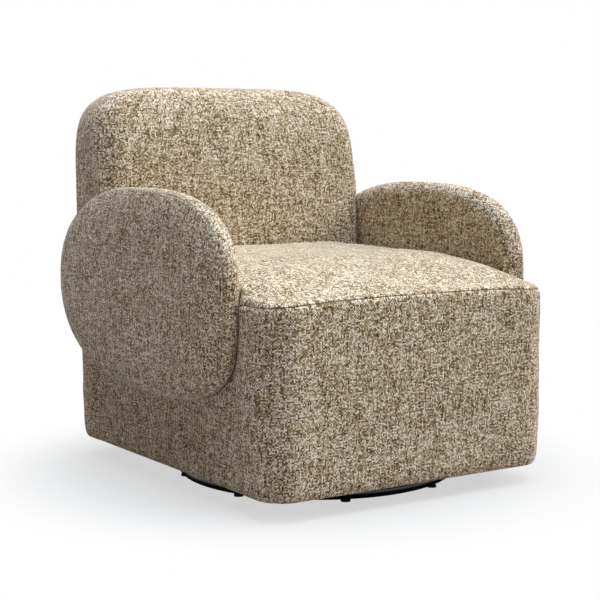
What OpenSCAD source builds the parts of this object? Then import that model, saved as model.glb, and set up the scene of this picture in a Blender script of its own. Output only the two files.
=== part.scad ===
// Upholstered swivel rocker: a seat block, two oval arms and a rounded back, rocking on four coil
// springs over a swivel bearing and a round floor ring. Millimetres, Z up, front towards -Y.
// The origin is on the floor, under the middle of the overall width and depth.

/* [Overall] */
// Depth from the front of the seat block to the rear of the back
overall_depth = 886; // [800:2:960]
// Height to the top of the back
overall_height = 848; // [800:2:900]
// Width over the two arms
overall_width = 802; // [766:2:840]
// Width of the seat block and of the back
body_width = 706; // [696:2:730]
// How far the swivel axis lies ahead of the middle of the depth
swivel_forward = 75; // [60:1:90]

/* [Seat block] */
// Height of the seat at the middle of its crown
seat_height = 481; // [460:1:500]
// Height of the seam round the front of the seat
seam_height = 418; // [408:1:430]
// Gap between the floor and the bottom of the block
floor_gap = 42; // [40:1:52]
// Plan radius of the two front corners
front_corner_r = 66; // [56:1:90]
// Plan radius of the two rear corners
rear_corner_r = 47; // [35:1:60]
// How far the cover turns under at its bottom edge
bottom_tuck = 17; // [12:1:24]
// Height over which the bottom edge is rounded
bottom_round_h = 44; // [34:1:60]
// How far the side below an arm lies inside the front corner
side_recess = 7; // [3:0.5:9]
// How far the bottom of the rear lies ahead of the rear of the back
rear_lean_in = 44; // [30:1:50]
// Run from the front seam over which the seat rises to its crown
seat_rise_run = 322; // [250:1:380]

/* [Back] */
// Seat depth, from the front of the block to the face of the back
seat_depth = 652; // [630:1:670]
// Lean of the back's face
back_lean = 9.2; // [6:0.1:11]
// Radius of the back's upright edges
back_corner_r = 56; // [40:1:70]
// Height over which the outline of the back rounds to its top
back_dome_h = 250; // [200:1:280]
// Height over which the thickness of the back rounds to its top
back_top_round = 150; // [120:1:180]
// How far the back's faces are crowned
back_crown = 10; // [4:1:14]
// Height where the back's padding begins
back_foot_z = 402; // [396:1:408]

/* [Arms] */
// Length of an arm's oval
arm_length = 746; // [740:2:780]
// Height of an arm's oval
arm_height = 430; // [400:2:440]
// Height of an arm's underside
arm_bottom_z = 197; // [196:1:210]
// How far an arm begins behind the front of the block
arm_front_set = 118; // [92:1:130]
// How far an arm is let into the side of the body
arm_inset = 18; // [18:1:26]
// Crown of an arm's outer panel
arm_panel_crown = 14; // [8:1:16]

/* [Covers and pads] */
// Thickness of a cover with its wadding
cover_t = 3; // [2.5:0.1:3.5]
// Gap between soft pieces and what they lie on
soft_gap = 0.3; // [0.2:0.05:0.4]
// Thickness of the foam in front of the back's frame
back_foam_t = 80; // [70:1:86]

/* [Wooden frame] */
// Thickness of the frame's boards
board_t = 18; // [15:1:20]
// Width over the two side boards
frame_width = 606; // [600:2:614]
// Height of the boards' bottom edge
board_bottom_z = 60; // [56:1:64]
// Height of the boards' top edge
board_top_z = 380; // [374:1:384]
// Thickness of the pads on the front and the rear board
end_pad_t = 30; // [24:1:32]
// Depth of a bearer
bearer_depth = 70; // [60:1:80]
// Height of a bearer
bearer_height = 35; // [30:1:40]
// Depth of a back post
post_depth = 60; // [50:1:64]
// Height of the top of the back posts
post_top_z = 770; // [740:1:776]
// Thickness of an arm board
arm_board_t = 15; // [12:1:18]

/* [Floor base] */
// Diameter of the floor ring, at the middle of its tube
ring_diameter = 580; // [550:2:586]
// Diameter of the ring's tube
ring_tube_d = 25; // [20:1:26]
// Height of the glides under the ring
glide_h = 4; // [3:0.5:5]
// Diameter of a glide
glide_d = 20; // [16:1:22]
// Number of glides
glide_count = 8; // [6:1:10]
// Width of a bar of the cross
bar_w = 42; // [30:1:50]
// Height of a bar of the cross
bar_h = 10; // [8:1:12]

/* [Swivel bearing] */
// Outer diameter of the races
race_d = 150; // [140:2:160]
// Inner diameter of the races
race_bore_d = 80; // [70:2:90]
// Thickness of a race
race_t = 10; // [9:0.5:11]
// Diameter of a bearing ball
ball_d = 10; // [9:0.5:11]
// Number of bearing balls
ball_count = 16; // [12:1:20]
// Diameter of the king pin
pin_d = 16; // [14:1:18]

/* [Rocker] */
// Height of the rock shaft's axis above the floor
shaft_z = 110; // [108:0.5:112]
// Diameter of the rock shaft
shaft_d = 16; // [14:0.5:18]
// Thickness of the brackets' plates and ears
plate_t = 6; // [5:0.5:6.5]
// Height of the underside of the upper plate
upper_plate_z = 152; // [148:0.5:154]
// Half the distance between the lower ears' inner faces
ear_half = 115; // [112:1:120]
// Rock forward, in degrees
rock_forward = 5; // [4:0.1:5]
// Rock rearward, in degrees
rock_rearward = 4.5; // [3.5:0.1:4.5]
// Mean diameter of a rocker spring
spring_d = 44; // [40:1:48]
// Diameter of a rocker spring's wire
spring_wire = 6; // [5:0.5:7]
// Number of curls in a rocker spring
spring_turns = 4; // [3:0.5:5]

/* [Hidden] */

// Colours of the finishes
cloth_colour = "#b7a283";
foam_colour = "#efe2b4";
wood_colour = "#c9a26b";
black_steel_colour = "#1c1c1e";
zinc_colour = "#a9adb1";
rubber_colour = "#2a2a2a";
brass_colour = "#c9a84c";
felt_colour = "#8f8a80";

// Fits and clearances
cut_over = 1;
slip_fit = 0.05;
touch_gap = 0.3;
round_fn = 64;
small_fn = 32;

// Main places, from the swivel axis
body_half = body_width / 2;
front_y = swivel_forward - overall_depth / 2;
rear_y = swivel_forward + overall_depth / 2;
block_rear_y = rear_y - rear_lean_in;
lean_slope = tan(back_lean);
dome_z = overall_height - back_dome_h;
seam_inset = 2;
bulge_rise = 140;
bulge_z = floor_gap + bulge_rise;
soft_step = cover_t + soft_gap;
pad_ease = 3;
pad_inset = soft_step + pad_ease;
foam_ease = 1;

// Arms
arm_front_power = 3.2;
arm_rear_power = 2.2;
arm_y = front_y + arm_front_set + arm_length / 2;
arm_z = arm_bottom_z + arm_height / 2;
arm_inner_x = body_half - arm_inset;
arm_outer_x = overall_width / 2;
arm_thick = arm_outer_x - arm_inner_x;
arm_columns = 28;
arm_clear = 1.5;
body_clear_x = arm_inner_x - soft_gap;

// Frame
frame_half = frame_width / 2;
frame_in = frame_half - board_t;
front_board_y = front_y + pad_inset + end_pad_t + soft_gap;
rear_board_y = block_rear_y - pad_inset - end_pad_t - soft_gap;
bearer_z = upper_plate_z + plate_t;
bearer_y = 100;
corner_leg = 45;
post_y = back_face(back_foot_z) + back_foam_t;
post_gap = 4;
back_strap_t = 2;
back_strap_w = 50;
arm_board_inset = 45;
arm_board_x = arm_inner_x + board_t - cover_t;
arm_block_rise = 63;
arm_block_z = arm_bottom_z + arm_block_rise;
arm_block_h = 110;
arm_block_front = 266;
arm_block_y = arm_y - arm_block_front;
arm_block_len = 450;
arm_bolt_r = 5;
arm_bolt_head_r = 10;
arm_bolt_head_h = 6;
arm_bolt_step = 175;
arm_bolt_z = arm_block_z + arm_block_h / 2;

// Seat suspension
wire_t = 3.8;
wire_amp = 35;
wire_pitch = 50;
wire_pitch_count = 14;
wire_tail = 20;
seat_wire_spacing = 110;
seat_wire_count = 5;
clip_l = 14;
clip_w = 16;
clip_h = 9;
deck_t = 6;
deck_z = board_top_z + wire_t + touch_gap;
pad_top_z = deck_z + deck_t;
seat_foam_z = pad_top_z + soft_gap;
cloth_sheet_t = 1.5;

// Floor base
ring_r = ring_diameter / 2;
tube_r = ring_tube_d / 2;
ring_z = glide_h + tube_r;
bar_z = ring_z - bar_h / 2;
hub_t = 6;
hub_rim = 5;
hub_r = race_d / 2 + hub_rim;
pin_r = pin_d / 2;
pin_head_rim = 6;
pin_head_r = pin_r + pin_head_rim;
pin_head_h = 6;
nut_h = 12;
nut_rim = 7;
nut_r = pin_r + nut_rim;
pin_tail = 4;

// Swivel bearing
lower_race_z = bar_z + bar_h + hub_t;
ball_r = ball_d / 2;
race_space = 8;
ball_z = lower_race_z + race_t + race_space / 2;
ball_path_r = (race_d + race_bore_d) / 4;
cage_t = 3;
cage_rim = 10;
upper_race_z = ball_z + race_space / 2;
bracket_z = upper_race_z + race_t;
bracket_top_z = bracket_z + plate_t;

// Rocker
shaft_r = shaft_d / 2;
ear_rim = 12;
ear_r = shaft_r + ear_rim;
ear_space = 3;
upper_ear_x = ear_half + plate_t + ear_space;
bush_wall = 4;
bush_r = shaft_r + bush_wall;
bush_lip = 1.5;
clip_ring_t = 3;
clip_rim = 5;
clip_ring_r = shaft_r + clip_rim;
clip_ring_x = upper_ear_x + plate_t + bush_lip + touch_gap;
shaft_end = 4;
shaft_half = clip_ring_x + clip_ring_t + shaft_end;
bracket_half_y = 168;
upper_half_y = 176;
plate_rim = 4;
upper_half_x = upper_ear_x + plate_t + plate_rim;
spring_x = 68;
spring_y = 104;
cup_r = spring_d / 2 + spring_wire;
cup_t = 4;
cup_boss_r = spring_d / 2 - spring_wire;
cup_boss_h = 8;
bumper_r = 12;
bumper_x = 60;
bumper_y = 150;
bumper_gap = 1;
screw_x = 112;
screw_r = 4;
screw_head_r = 8;
screw_head_h = 4;
screw_depth = 26;

// Height of the back's face line and of the rear line at a height
function back_face(z) = front_y + seat_depth + lean_slope * (z - seat_height);
function rear_line(z) =
    rear_y - rear_lean_in * max(0, 1 - (z - floor_gap) / (dome_z - floor_gap));

// Power of a number that keeps its sign
function signed_pow(v, e) = sign(v) * pow(abs(v), e);

// An arm's oval is fuller at its front end than at its rear end
function arm_power(y) = y < 0 ? arm_front_power : arm_rear_power;

// Point on an oval with half sizes a and b, of the arms' fullness
function oval(t, a, b) =
    let (e = 2 / arm_power(cos(t))) [a * signed_pow(cos(t), e), b * signed_pow(sin(t), e)];

// How far a point lies out of an arm's outline: under 1 inside it, over 1 outside
function arm_fill(y, z) =
    let (e = arm_power(y - arm_y))
    pow(abs(y - arm_y) / (arm_length / 2), e) + pow(abs(z - arm_z) / (arm_height / 2), e);

// Height of the underside of an arm's outline, let out by a gap
function arm_underside(y, gap) =
    let (a = arm_length / 2 + gap, b = arm_height / 2 + gap, e = arm_power(y - arm_y))
    arm_z - b * pow(1 - min(1, pow(abs(y - arm_y) / a, e)), 1 / e);

// Profile lines as lists of 2-D points, and the same line moved sideways
function line_normal(p, i) =
    let (a = p[max(i - 1, 0)], b = p[min(i + 1, len(p) - 1)], d = (b - a) / norm(b - a))
    [-d[1], d[0]];
function moved_line(p, t) = [for (i = [0:len(p) - 1]) p[i] + t * line_normal(p, i)];

// Skins and solids over a grid of points
function grid_at(i, j, cols) = i * cols + j % cols;
function flat_points(grid) = [for (row = grid) for (p = row) p];

function wall(p, q, n) = p < q
    ? [[q, q + n, p], [p, q + n, p + n]]
    : [[q, p + n, p], [q, q + n, p + n]];

function skin_faces(rows, cols, keep, wrap, lid) =
    let (n = rows * cols, spans = wrap ? cols : cols - 1)
    [for (i = [0:rows - 2]) for (j = [0:spans - 1]) if (keep[i][j])
        let (
            a = grid_at(i, j, cols), b = grid_at(i, j + 1, cols),
            c = grid_at(i + 1, j + 1, cols), d = grid_at(i + 1, j, cols),
            left = wrap ? (j + spans - 1) % spans : j - 1,
            right = wrap ? (j + 1) % spans : j + 1)
        each concat(
            [[a, c, b], [a, d, c], [n + a, n + b, n + c], [n + a, n + c, n + d]],
            i == 0 || !keep[i - 1][j] ? wall(a, b, n) : [],
            right >= spans || !keep[i][right] ? wall(b, c, n) : [],
            i == rows - 2 ? (lid ? [] : wall(c, d, n)) : (keep[i + 1][j] ? [] : wall(c, d, n)),
            left < 0 || !keep[i][left] ? wall(d, a, n) : [])];

function lid_faces(first, cols) = [for (j = [1:cols - 2]) [first, first + j + 1, first + j]];
function floor_faces(first, cols) = [for (j = [1:cols - 2]) [first, first + j, first + j + 1]];

// A skin between two grids, over the cells that are kept
module skin(outer, inner, keep, wrap = false, lid = false) {
    rows = len(outer);
    cols = len(outer[0]);
    top = (rows - 1) * cols;
    n = rows * cols;
    polyhedron(
        points = concat(flat_points(outer), flat_points(inner)),
        faces = concat(
            skin_faces(rows, cols, keep, wrap, lid),
            lid ? lid_faces(top, cols) : [],
            lid ? floor_faces(n + top, cols) : []));
}

// A closed solid through a stack of rings
module stack(rings) {
    rows = len(rings);
    cols = len(rings[0]);
    polyhedron(
        points = flat_points(rings),
        faces = concat(
            [for (i = [0:rows - 2]) for (j = [0:cols - 1])
                let (
                    a = grid_at(i, j, cols), b = grid_at(i, j + 1, cols),
                    c = grid_at(i + 1, j + 1, cols), d = grid_at(i + 1, j, cols))
                each [[a, c, b], [a, d, c]]],
            floor_faces(0, cols),
            lid_faces((rows - 1) * cols, cols)));
}

function all_cells(rows, cols) = [for (i = [0:rows - 2]) [for (j = [0:cols - 1]) true]];

// Every piece is drawn from the swivel axis and then set in its place
module on_axis() {
    translate([0, -swivel_forward, 0]) children();
}

module both_sides() {
    children();
    mirror([1, 0, 0]) children();
}

module four_corners(x, y) {
    for (sx = [-1, 1]) for (sy = [-1, 1]) translate([sx * x, sy * y, 0]) children();
}

module box(x0, x1, y0, y1, z0, z1) {
    translate([x0, y0, z0]) cube([x1 - x0, y1 - y0, z1 - z0]);
}

// A shape in the YZ plane, drawn out along X
module along_x(x0, x1) {
    translate([x0, 0, 0]) rotate([90, 0, 90]) linear_extrude(x1 - x0) children();
}

// Floor base

module floor_ring() {
    color(black_steel_colour) on_axis() translate([0, 0, ring_z]) rotate_extrude($fn = round_fn)
        translate([ring_r, 0]) circle(r = tube_r, $fn = small_fn);
}

module ring_glides() {
    color(rubber_colour) on_axis()
        for (k = [0:glide_count - 1]) rotate([0, 0, (k + 1 / 2) * 360 / glide_count])
            translate([ring_r, 0, 0]) cylinder(h = glide_h, d = glide_d, $fn = small_fn);
}

module base_spider() {
    color(black_steel_colour) on_axis() difference() {
        intersection() {
            union() {
                for (turn = [0, 90]) rotate([0, 0, turn + 45])
                    box(-ring_r, ring_r, -bar_w / 2, bar_w / 2, bar_z, bar_z + bar_h);
                translate([0, 0, bar_z + bar_h / 2])
                    cylinder(h = bar_h / 2 + hub_t, r = hub_r, $fn = round_fn);
            }
            cylinder(h = lower_race_z, r = ring_r - tube_r - touch_gap, $fn = round_fn);
        }
        cylinder(h = lower_race_z + cut_over, r = pin_r + slip_fit, $fn = small_fn);
    }
}

module king_pin() {
    color(zinc_colour) on_axis() translate([0, 0, bar_z - pin_head_h]) {
        cylinder(h = pin_head_h, r = pin_head_r, $fn = small_fn);
        cylinder(
            h = bracket_top_z + touch_gap + nut_h + pin_tail - bar_z + pin_head_h,
            r = pin_r, $fn = small_fn);
    }
}

module king_nut() {
    color(zinc_colour) on_axis() translate([0, 0, bracket_top_z + touch_gap]) difference() {
        cylinder(h = nut_h, r = nut_r, $fn = 6);
        translate([0, 0, -cut_over])
            cylinder(h = nut_h + 2 * cut_over, r = pin_r + slip_fit, $fn = small_fn);
    }
}

// Swivel bearing

module ball_groove() {
    translate([0, 0, ball_z]) rotate_extrude($fn = round_fn)
        translate([ball_path_r, 0]) circle(r = ball_r + slip_fit, $fn = small_fn);
}

module race(z) {
    difference() {
        translate([0, 0, z]) cylinder(h = race_t, d = race_d, $fn = round_fn);
        translate([0, 0, z - cut_over])
            cylinder(h = race_t + 2 * cut_over, d = race_bore_d, $fn = round_fn);
        ball_groove();
    }
}

module lower_race() {
    color(zinc_colour) on_axis() race(lower_race_z);
}

module upper_race() {
    color(zinc_colour) on_axis() race(upper_race_z);
}

module at_balls() {
    for (k = [0:ball_count - 1]) rotate([0, 0, k * 360 / ball_count])
        translate([ball_path_r, 0, ball_z]) children();
}

module bearing_balls() {
    color(zinc_colour) on_axis() at_balls() sphere(r = ball_r, $fn = small_fn);
}

module ball_cage() {
    color(brass_colour) on_axis() difference() {
        translate([0, 0, ball_z - cage_t / 2])
            cylinder(h = cage_t, r = ball_path_r + cage_rim, $fn = round_fn);
        cylinder(h = upper_race_z, r = ball_path_r - cage_rim, $fn = round_fn);
        at_balls() cylinder(h = 2 * race_space, r = ball_r + touch_gap, center = true, $fn = small_fn);
    }
}

// Rocker

module shaft_bore(r) {
    translate([-shaft_half, 0, shaft_z]) rotate([0, 90, 0])
        cylinder(h = 2 * shaft_half, r = r, $fn = small_fn);
}

module ear(x, base_z) {
    along_x(x, x + plate_t) union() {
        translate([0, shaft_z]) circle(r = ear_r, $fn = small_fn);
        polygon([
            [-ear_r, shaft_z], [ear_r, shaft_z], [2 * ear_r, base_z], [-2 * ear_r, base_z]]);
    }
}

module rocker_bracket() {
    color(black_steel_colour) on_axis() difference() {
        union() {
            box(-ear_half - plate_t, ear_half + plate_t, -bracket_half_y, bracket_half_y,
                bracket_z, bracket_top_z);
            both_sides() ear(ear_half, bracket_z + plate_t / 2);
        }
        shaft_bore(shaft_r + slip_fit);
        translate([0, 0, bracket_z - cut_over])
            cylinder(h = plate_t + 2 * cut_over, r = pin_r + slip_fit, $fn = small_fn);
    }
}

module rock_shaft() {
    color(zinc_colour) on_axis() shaft_bore(shaft_r);
}

module shaft_clips() {
    color(zinc_colour) on_axis() both_sides() difference() {
        translate([clip_ring_x, 0, shaft_z]) rotate([0, 90, 0])
            cylinder(h = clip_ring_t, r = clip_ring_r, $fn = small_fn);
        shaft_bore(shaft_r + slip_fit);
    }
}

module spring_cup() {
    cylinder(h = cup_t, r = cup_r, $fn = small_fn);
    cylinder(h = cup_t + cup_boss_h, r = cup_boss_r, $fn = small_fn);
}

module spring_cups_lower() {
    color(black_steel_colour) on_axis() four_corners(spring_x, spring_y)
        translate([0, 0, bracket_top_z]) spring_cup();
}

// Top of a stop, where the upper plate comes down on it at a rock angle
function stop_top(angle) =
    shaft_z + (upper_plate_z - shaft_z) * cos(angle) - (bumper_y + bumper_r) * sin(angle)
    - bumper_gap;

module stop_pair(y, angle) {
    for (sx = [-1, 1]) translate([sx * bumper_x, y, bracket_top_z])
        cylinder(h = stop_top(angle) - bracket_top_z, r = bumper_r, $fn = small_fn);
}

module stop_bumpers() {
    color(rubber_colour) on_axis() {
        stop_pair(-bumper_y, rock_forward);
        stop_pair(bumper_y, rock_rearward);
    }
}

// One unbroken coil of wire between two cups
spring_rings = 8;
spring_sides = 6;
coil_low_z = bracket_top_z + cup_t + touch_gap + spring_wire / 2;
coil_high_z = upper_plate_z - cup_t - touch_gap - spring_wire / 2;
coil_rise = (coil_high_z - coil_low_z) / spring_turns;

function coil_ring(k) =
    let (
        turn = 360 * k / spring_rings,
        z = coil_low_z + coil_rise * k / spring_rings)
    [for (s = [0:spring_sides - 1])
        let (
            a = 360 * s / spring_sides,
            r = spring_d / 2 + spring_wire / 2 * cos(a))
        [r * cos(turn), r * sin(turn), z - spring_wire / 2 * sin(a)]];

module coil() {
    stack([for (k = [0:spring_turns * spring_rings]) coil_ring(k)]);
}

module rocker_springs() {
    color(zinc_colour) on_axis() four_corners(spring_x, spring_y) coil();
}

echo("least gap between a spring's curls", coil_rise - spring_wire);  // rocker_springs

module rocker_plate() {
    color(black_steel_colour) on_axis() difference() {
        union() {
            box(-upper_half_x, upper_half_x, -upper_half_y, upper_half_y,
                upper_plate_z, upper_plate_z + plate_t);
            both_sides() ear(upper_ear_x, upper_plate_z + plate_t / 2);
        }
        shaft_bore(bush_r + slip_fit);
        four_corners(screw_x, bearer_y) translate([0, 0, upper_plate_z - cut_over])
            cylinder(h = plate_t + 2 * cut_over, r = screw_r + slip_fit, $fn = small_fn);
    }
}

module rocker_bushes() {
    color(brass_colour) on_axis() both_sides() difference() {
        translate([upper_ear_x - bush_lip, 0, shaft_z]) rotate([0, 90, 0])
            cylinder(h = plate_t + 2 * bush_lip, r = bush_r, $fn = small_fn);
        shaft_bore(shaft_r + slip_fit);
    }
}

module spring_cups_upper() {
    color(black_steel_colour) on_axis() four_corners(spring_x, spring_y)
        translate([0, 0, upper_plate_z]) mirror([0, 0, 1]) spring_cup();
}

module screw_shank(extra) {
    translate([0, 0, upper_plate_z]) cylinder(h = plate_t + screw_depth, r = screw_r + extra, $fn = small_fn);
}

module plate_screws() {
    color(zinc_colour) on_axis() four_corners(screw_x, bearer_y) {
        screw_shank(0);
        translate([0, 0, upper_plate_z - screw_head_h])
            cylinder(h = screw_head_h, r = screw_head_r, $fn = small_fn);
    }
}

// Wooden frame

module bearers() {
    color(wood_colour) on_axis() difference() {
        for (sy = [-1, 1]) translate([0, sy * bearer_y, 0])
            box(-frame_in, frame_in, -bearer_depth / 2, bearer_depth / 2,
                bearer_z, bearer_z + bearer_height);
        four_corners(screw_x, bearer_y) screw_shank(slip_fit);
    }
}

module at_arm_bolts() {
    for (k = [-1:1]) translate([0, arm_block_y + arm_block_len / 2 + k * arm_bolt_step, arm_bolt_z])
        rotate([0, 90, 0]) children();
}

module arm_bolt_shank(extra) {
    at_arm_bolts() translate([0, 0, frame_in - cut_over])
        cylinder(h = arm_board_x - frame_in - cut_over, r = arm_bolt_r + extra, $fn = small_fn);
}

module side_board() {
    color(wood_colour) on_axis() difference() {
        box(frame_in, frame_half, front_board_y + board_t, rear_board_y - board_t,
            board_bottom_z, board_top_z);
        arm_bolt_shank(slip_fit);
    }
}

module side_board_left() {
    mirror([1, 0, 0]) side_board();
}

module side_board_right() {
    side_board();
}

module front_board() {
    color(wood_colour) on_axis()
        box(-frame_half, frame_half, front_board_y, front_board_y + board_t,
            board_bottom_z, board_top_z);
}

module rear_board() {
    color(wood_colour) on_axis()
        box(-frame_half, frame_half, rear_board_y - board_t, rear_board_y,
            board_bottom_z, board_top_z);
}

module corner_blocks() {
    block_z = bearer_z + bearer_height + cloth_sheet_t + post_gap;
    color(wood_colour) on_axis() translate([0, 0, block_z])
        linear_extrude(board_top_z - block_z) both_sides() {
            polygon([
                [frame_in, front_board_y + board_t],
                [frame_in, front_board_y + board_t + corner_leg],
                [frame_in - corner_leg, front_board_y + board_t]]);
            polygon([
                [frame_in - board_t, rear_board_y - board_t],
                [frame_in - board_t - corner_leg, rear_board_y - board_t],
                [frame_in - board_t, rear_board_y - board_t - corner_leg]]);
        }
}

// Leaning strip of the back's frame between two heights, from its front line
function leaning(z0, z1, near, far) = [
    [post_y + near + lean_slope * (z0 - back_foot_z), z0],
    [post_y + far + lean_slope * (z0 - back_foot_z), z0],
    [post_y + far + lean_slope * (z1 - back_foot_z), z1],
    [post_y + near + lean_slope * (z1 - back_foot_z), z1]];

module back_post() {
    foot_z = bearer_z + bearer_height + cloth_sheet_t + post_gap;
    color(wood_colour) on_axis() along_x(frame_in - board_t, frame_in) union() {
        translate([post_y, foot_z]) square([post_depth, back_foot_z - foot_z]);
        polygon(leaning(back_foot_z, post_top_z, 0, post_depth));
    }
}

module back_post_left() {
    mirror([1, 0, 0]) back_post();
}

module back_post_right() {
    back_post();
}

rail_height = 60;
mid_rail_z = seat_height;

module back_rail(z, gap) {
    along_x(-frame_in + board_t - gap, frame_in - board_t + gap)
        polygon(leaning(z - gap, z + rail_height + gap, -gap, board_t + gap));
}

module back_top_rail() {
    color(wood_colour) on_axis() back_rail(post_top_z - rail_height, 0);
}

module back_mid_rail() {
    color(wood_colour) on_axis() back_rail(mid_rail_z, 0);
}

strap_count = 4;
strap_low_z = mid_rail_z - back_strap_w;
strap_rise = (post_top_z - rail_height - strap_low_z) / strap_count;

module back_straps(gap) {
    for (k = [0:strap_count - 1])
        along_x(-frame_in - gap, frame_in + gap)
            polygon(leaning(strap_low_z + k * strap_rise - gap,
                strap_low_z + k * strap_rise + back_strap_w + gap, -back_strap_t - gap, 0));
}

module back_webbing() {
    color(felt_colour) on_axis() back_straps(0);
}

module arm_oval(inset) {
    translate([arm_y, arm_z]) polygon([for (k = [0:arm_columns - 1])
        oval(360 * k / arm_columns, arm_length / 2 - inset, arm_height / 2 - inset)]);
}

module arm_block(gap) {
    box(frame_half, arm_board_x, arm_block_y - gap, arm_block_y + arm_block_len + gap,
        arm_block_z - gap, arm_block_z + arm_block_h + gap);
}

module arm_board() {
    color(wood_colour) on_axis() difference() {
        union() {
            along_x(arm_board_x, arm_board_x + arm_board_t) arm_oval(arm_board_inset);
            arm_block(0);
        }
        arm_bolt_shank(slip_fit);
    }
}

module arm_board_left() {
    mirror([1, 0, 0]) arm_board();
}

module arm_board_right() {
    arm_board();
}

module arm_bolts() {
    color(zinc_colour) on_axis() both_sides() {
        arm_bolt_shank(0);
        at_arm_bolts() translate([0, 0, frame_in - arm_bolt_head_h])
            cylinder(h = arm_bolt_head_h, r = arm_bolt_head_r, $fn = small_fn);
    }
}

// Seat suspension: wires that snake from the front board to the rear board

wire_start_y = front_board_y + board_t / 2;
wire_end_y = rear_board_y - board_t / 2;

function snake_x(y) =
    let (run = wire_end_y - wire_start_y - 2 * wire_tail, s = (y - wire_start_y - wire_tail) / run)
    s <= 0 || s >= 1 ? 0 : wire_amp * sin(180 * wire_pitch_count * s) * min(1, 8 * min(s, 1 - s));

function snake_line(n, side) = [for (k = [0:n])
    let (
        y = wire_start_y + (wire_end_y - wire_start_y) * k / n,
        step = (wire_end_y - wire_start_y) / n,
        dx = snake_x(y + step / 2) - snake_x(y - step / 2),
        d = norm([dx, step]))
    [snake_x(y) + side * wire_t / 2 * step / d, y - side * wire_t / 2 * dx / d]];

wire_stations = 4 * wire_pitch_count;

module seat_wire() {
    left = snake_line(wire_stations, -1);
    right = snake_line(wire_stations, 1);
    linear_extrude(wire_t)
        polygon(concat(left, [for (k = [0:wire_stations]) right[wire_stations - k]]));
}

module at_seat_wires() {
    for (k = [0:seat_wire_count - 1])
        translate([(k - (seat_wire_count - 1) / 2) * seat_wire_spacing, 0, board_top_z]) children();
}

module seat_springs() {
    color(zinc_colour) on_axis() at_seat_wires() seat_wire();
}

module spring_clips() {
    slot = wire_t + 2 * touch_gap;
    color(zinc_colour) on_axis() at_seat_wires()
        for (y = [wire_start_y, wire_end_y]) difference() {
            translate([-clip_w / 2, y - clip_l / 2, 0]) cube([clip_w, clip_l, clip_h - wire_t]);
            translate([-slot / 2, y - clip_l, -cut_over])
                cube([slot, 2 * clip_l, wire_t + touch_gap + cut_over]);
        }
}

module seat_deck() {
    color(felt_colour) on_axis()
        box(-frame_half, frame_half, front_board_y + board_t + clip_l / 2,
            back_face(deck_z) - touch_gap, deck_z, deck_z + deck_t);
}

module dust_cover() {
    color(rubber_colour) on_axis()
        box(-frame_in + soft_gap, frame_in - soft_gap,
            front_board_y + board_t + soft_gap, rear_board_y - board_t - soft_gap,
            bearer_z + bearer_height + soft_gap, bearer_z + bearer_height + soft_gap + cloth_sheet_t);
}

// Outline of the seat block in plan, as [x, y, outward x, outward y]

corner_steps = 6;

function corner_points(cx, cy, r, from) = [for (k = [0:corner_steps])
    let (a = from + 90 * k / corner_steps) [cx + r * cos(a), cy + r * sin(a), cos(a), sin(a)]];

front_face_shares = [-0.7, -0.35, 0, 0.35, 0.7];
rear_face_shares = [0.6, 0, -0.6];

cover_end_y = front_y + arm_front_set - arm_clear;
front_arc_x = body_half - front_corner_r;
front_path = concat(
    [[-body_half, cover_end_y, -1, 0]],
    corner_points(-front_arc_x, front_y + front_corner_r, front_corner_r, 180),
    [for (s = front_face_shares) [s * front_arc_x, front_y, 0, -1]],
    corner_points(front_arc_x, front_y + front_corner_r, front_corner_r, 270),
    [[body_half, cover_end_y, 1, 0]]);

valley_y = block_rear_y - 2 * rear_corner_r;
rear_arc_x = body_half - rear_corner_r;
rear_path = concat(
    [[body_half, valley_y + soft_gap, 1, 0], [body_half, valley_y + rear_corner_r / 3, 1, 0]],
    corner_points(rear_arc_x, block_rear_y - rear_corner_r, rear_corner_r, 0),
    [for (s = rear_face_shares) [s * rear_arc_x, block_rear_y, 0, 1]],
    corner_points(-rear_arc_x, block_rear_y - rear_corner_r, rear_corner_r, 90),
    [[-body_half, valley_y + rear_corner_r / 3, -1, 0], [-body_half, valley_y + soft_gap, -1, 0]]);

// Section of the block's covers: how far in, and at what height
tuck_in_shares = [1, 0.6, 0.3, 0.1, 0.03];
tuck_up_shares = [0, 0.06, 0.2, 0.5, 1];
function block_section(top_z) = concat(
    [for (k = [0:4]) [bottom_tuck * tuck_in_shares[k], floor_gap + bottom_round_h * tuck_up_shares[k]]],
    [[0, bulge_z], [seam_inset, top_z]]);

// Point of a cover from a place on the outline and a place on the section
function cover_point(at, s, more) =
    [at[0] - at[2] * (s[0] + more), at[1] - at[3] * (s[0] + more), s[1]];
function leaned(p, share) = [p[0], p[1] + share * (rear_line(p[2]) - block_rear_y), p[2]];

module front_cover() {
    section = block_section(seam_height - soft_step);
    inner_section = moved_line(section, -cover_t);
    color(cloth_colour) on_axis() skin(
        [for (s = section) [for (at = front_path) cover_point(at, s, 0)]],
        [for (s = inner_section) [for (at = front_path) cover_point(at, s, 0)]],
        all_cells(len(section), len(front_path)));
}

// Recess of the side below an arm at a place along it
function side_in(y) =
    let (
        front_run = (y - cover_end_y) / (arm_front_set / 2),
        rear_run = (valley_y - y) / (rear_corner_r / 2))
    side_recess * (1 - pow(max(0, 1 - front_run), 2)) + seam_inset * pow(max(0, 1 - rear_run), 2);

side_shares = [0, 0.02, 0.06, 0.13, 0.27, 0.44, 0.62, 0.78, 0.9, 0.97, 1];
side_path = [for (s = side_shares)
    [body_half, cover_end_y + soft_gap + (valley_y - cover_end_y - soft_gap) * s, 1, 0]];

function side_section(y) =
    let (top_z = min(seam_height - soft_step, arm_underside(y, arm_clear)))
    block_section(top_z);

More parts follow.
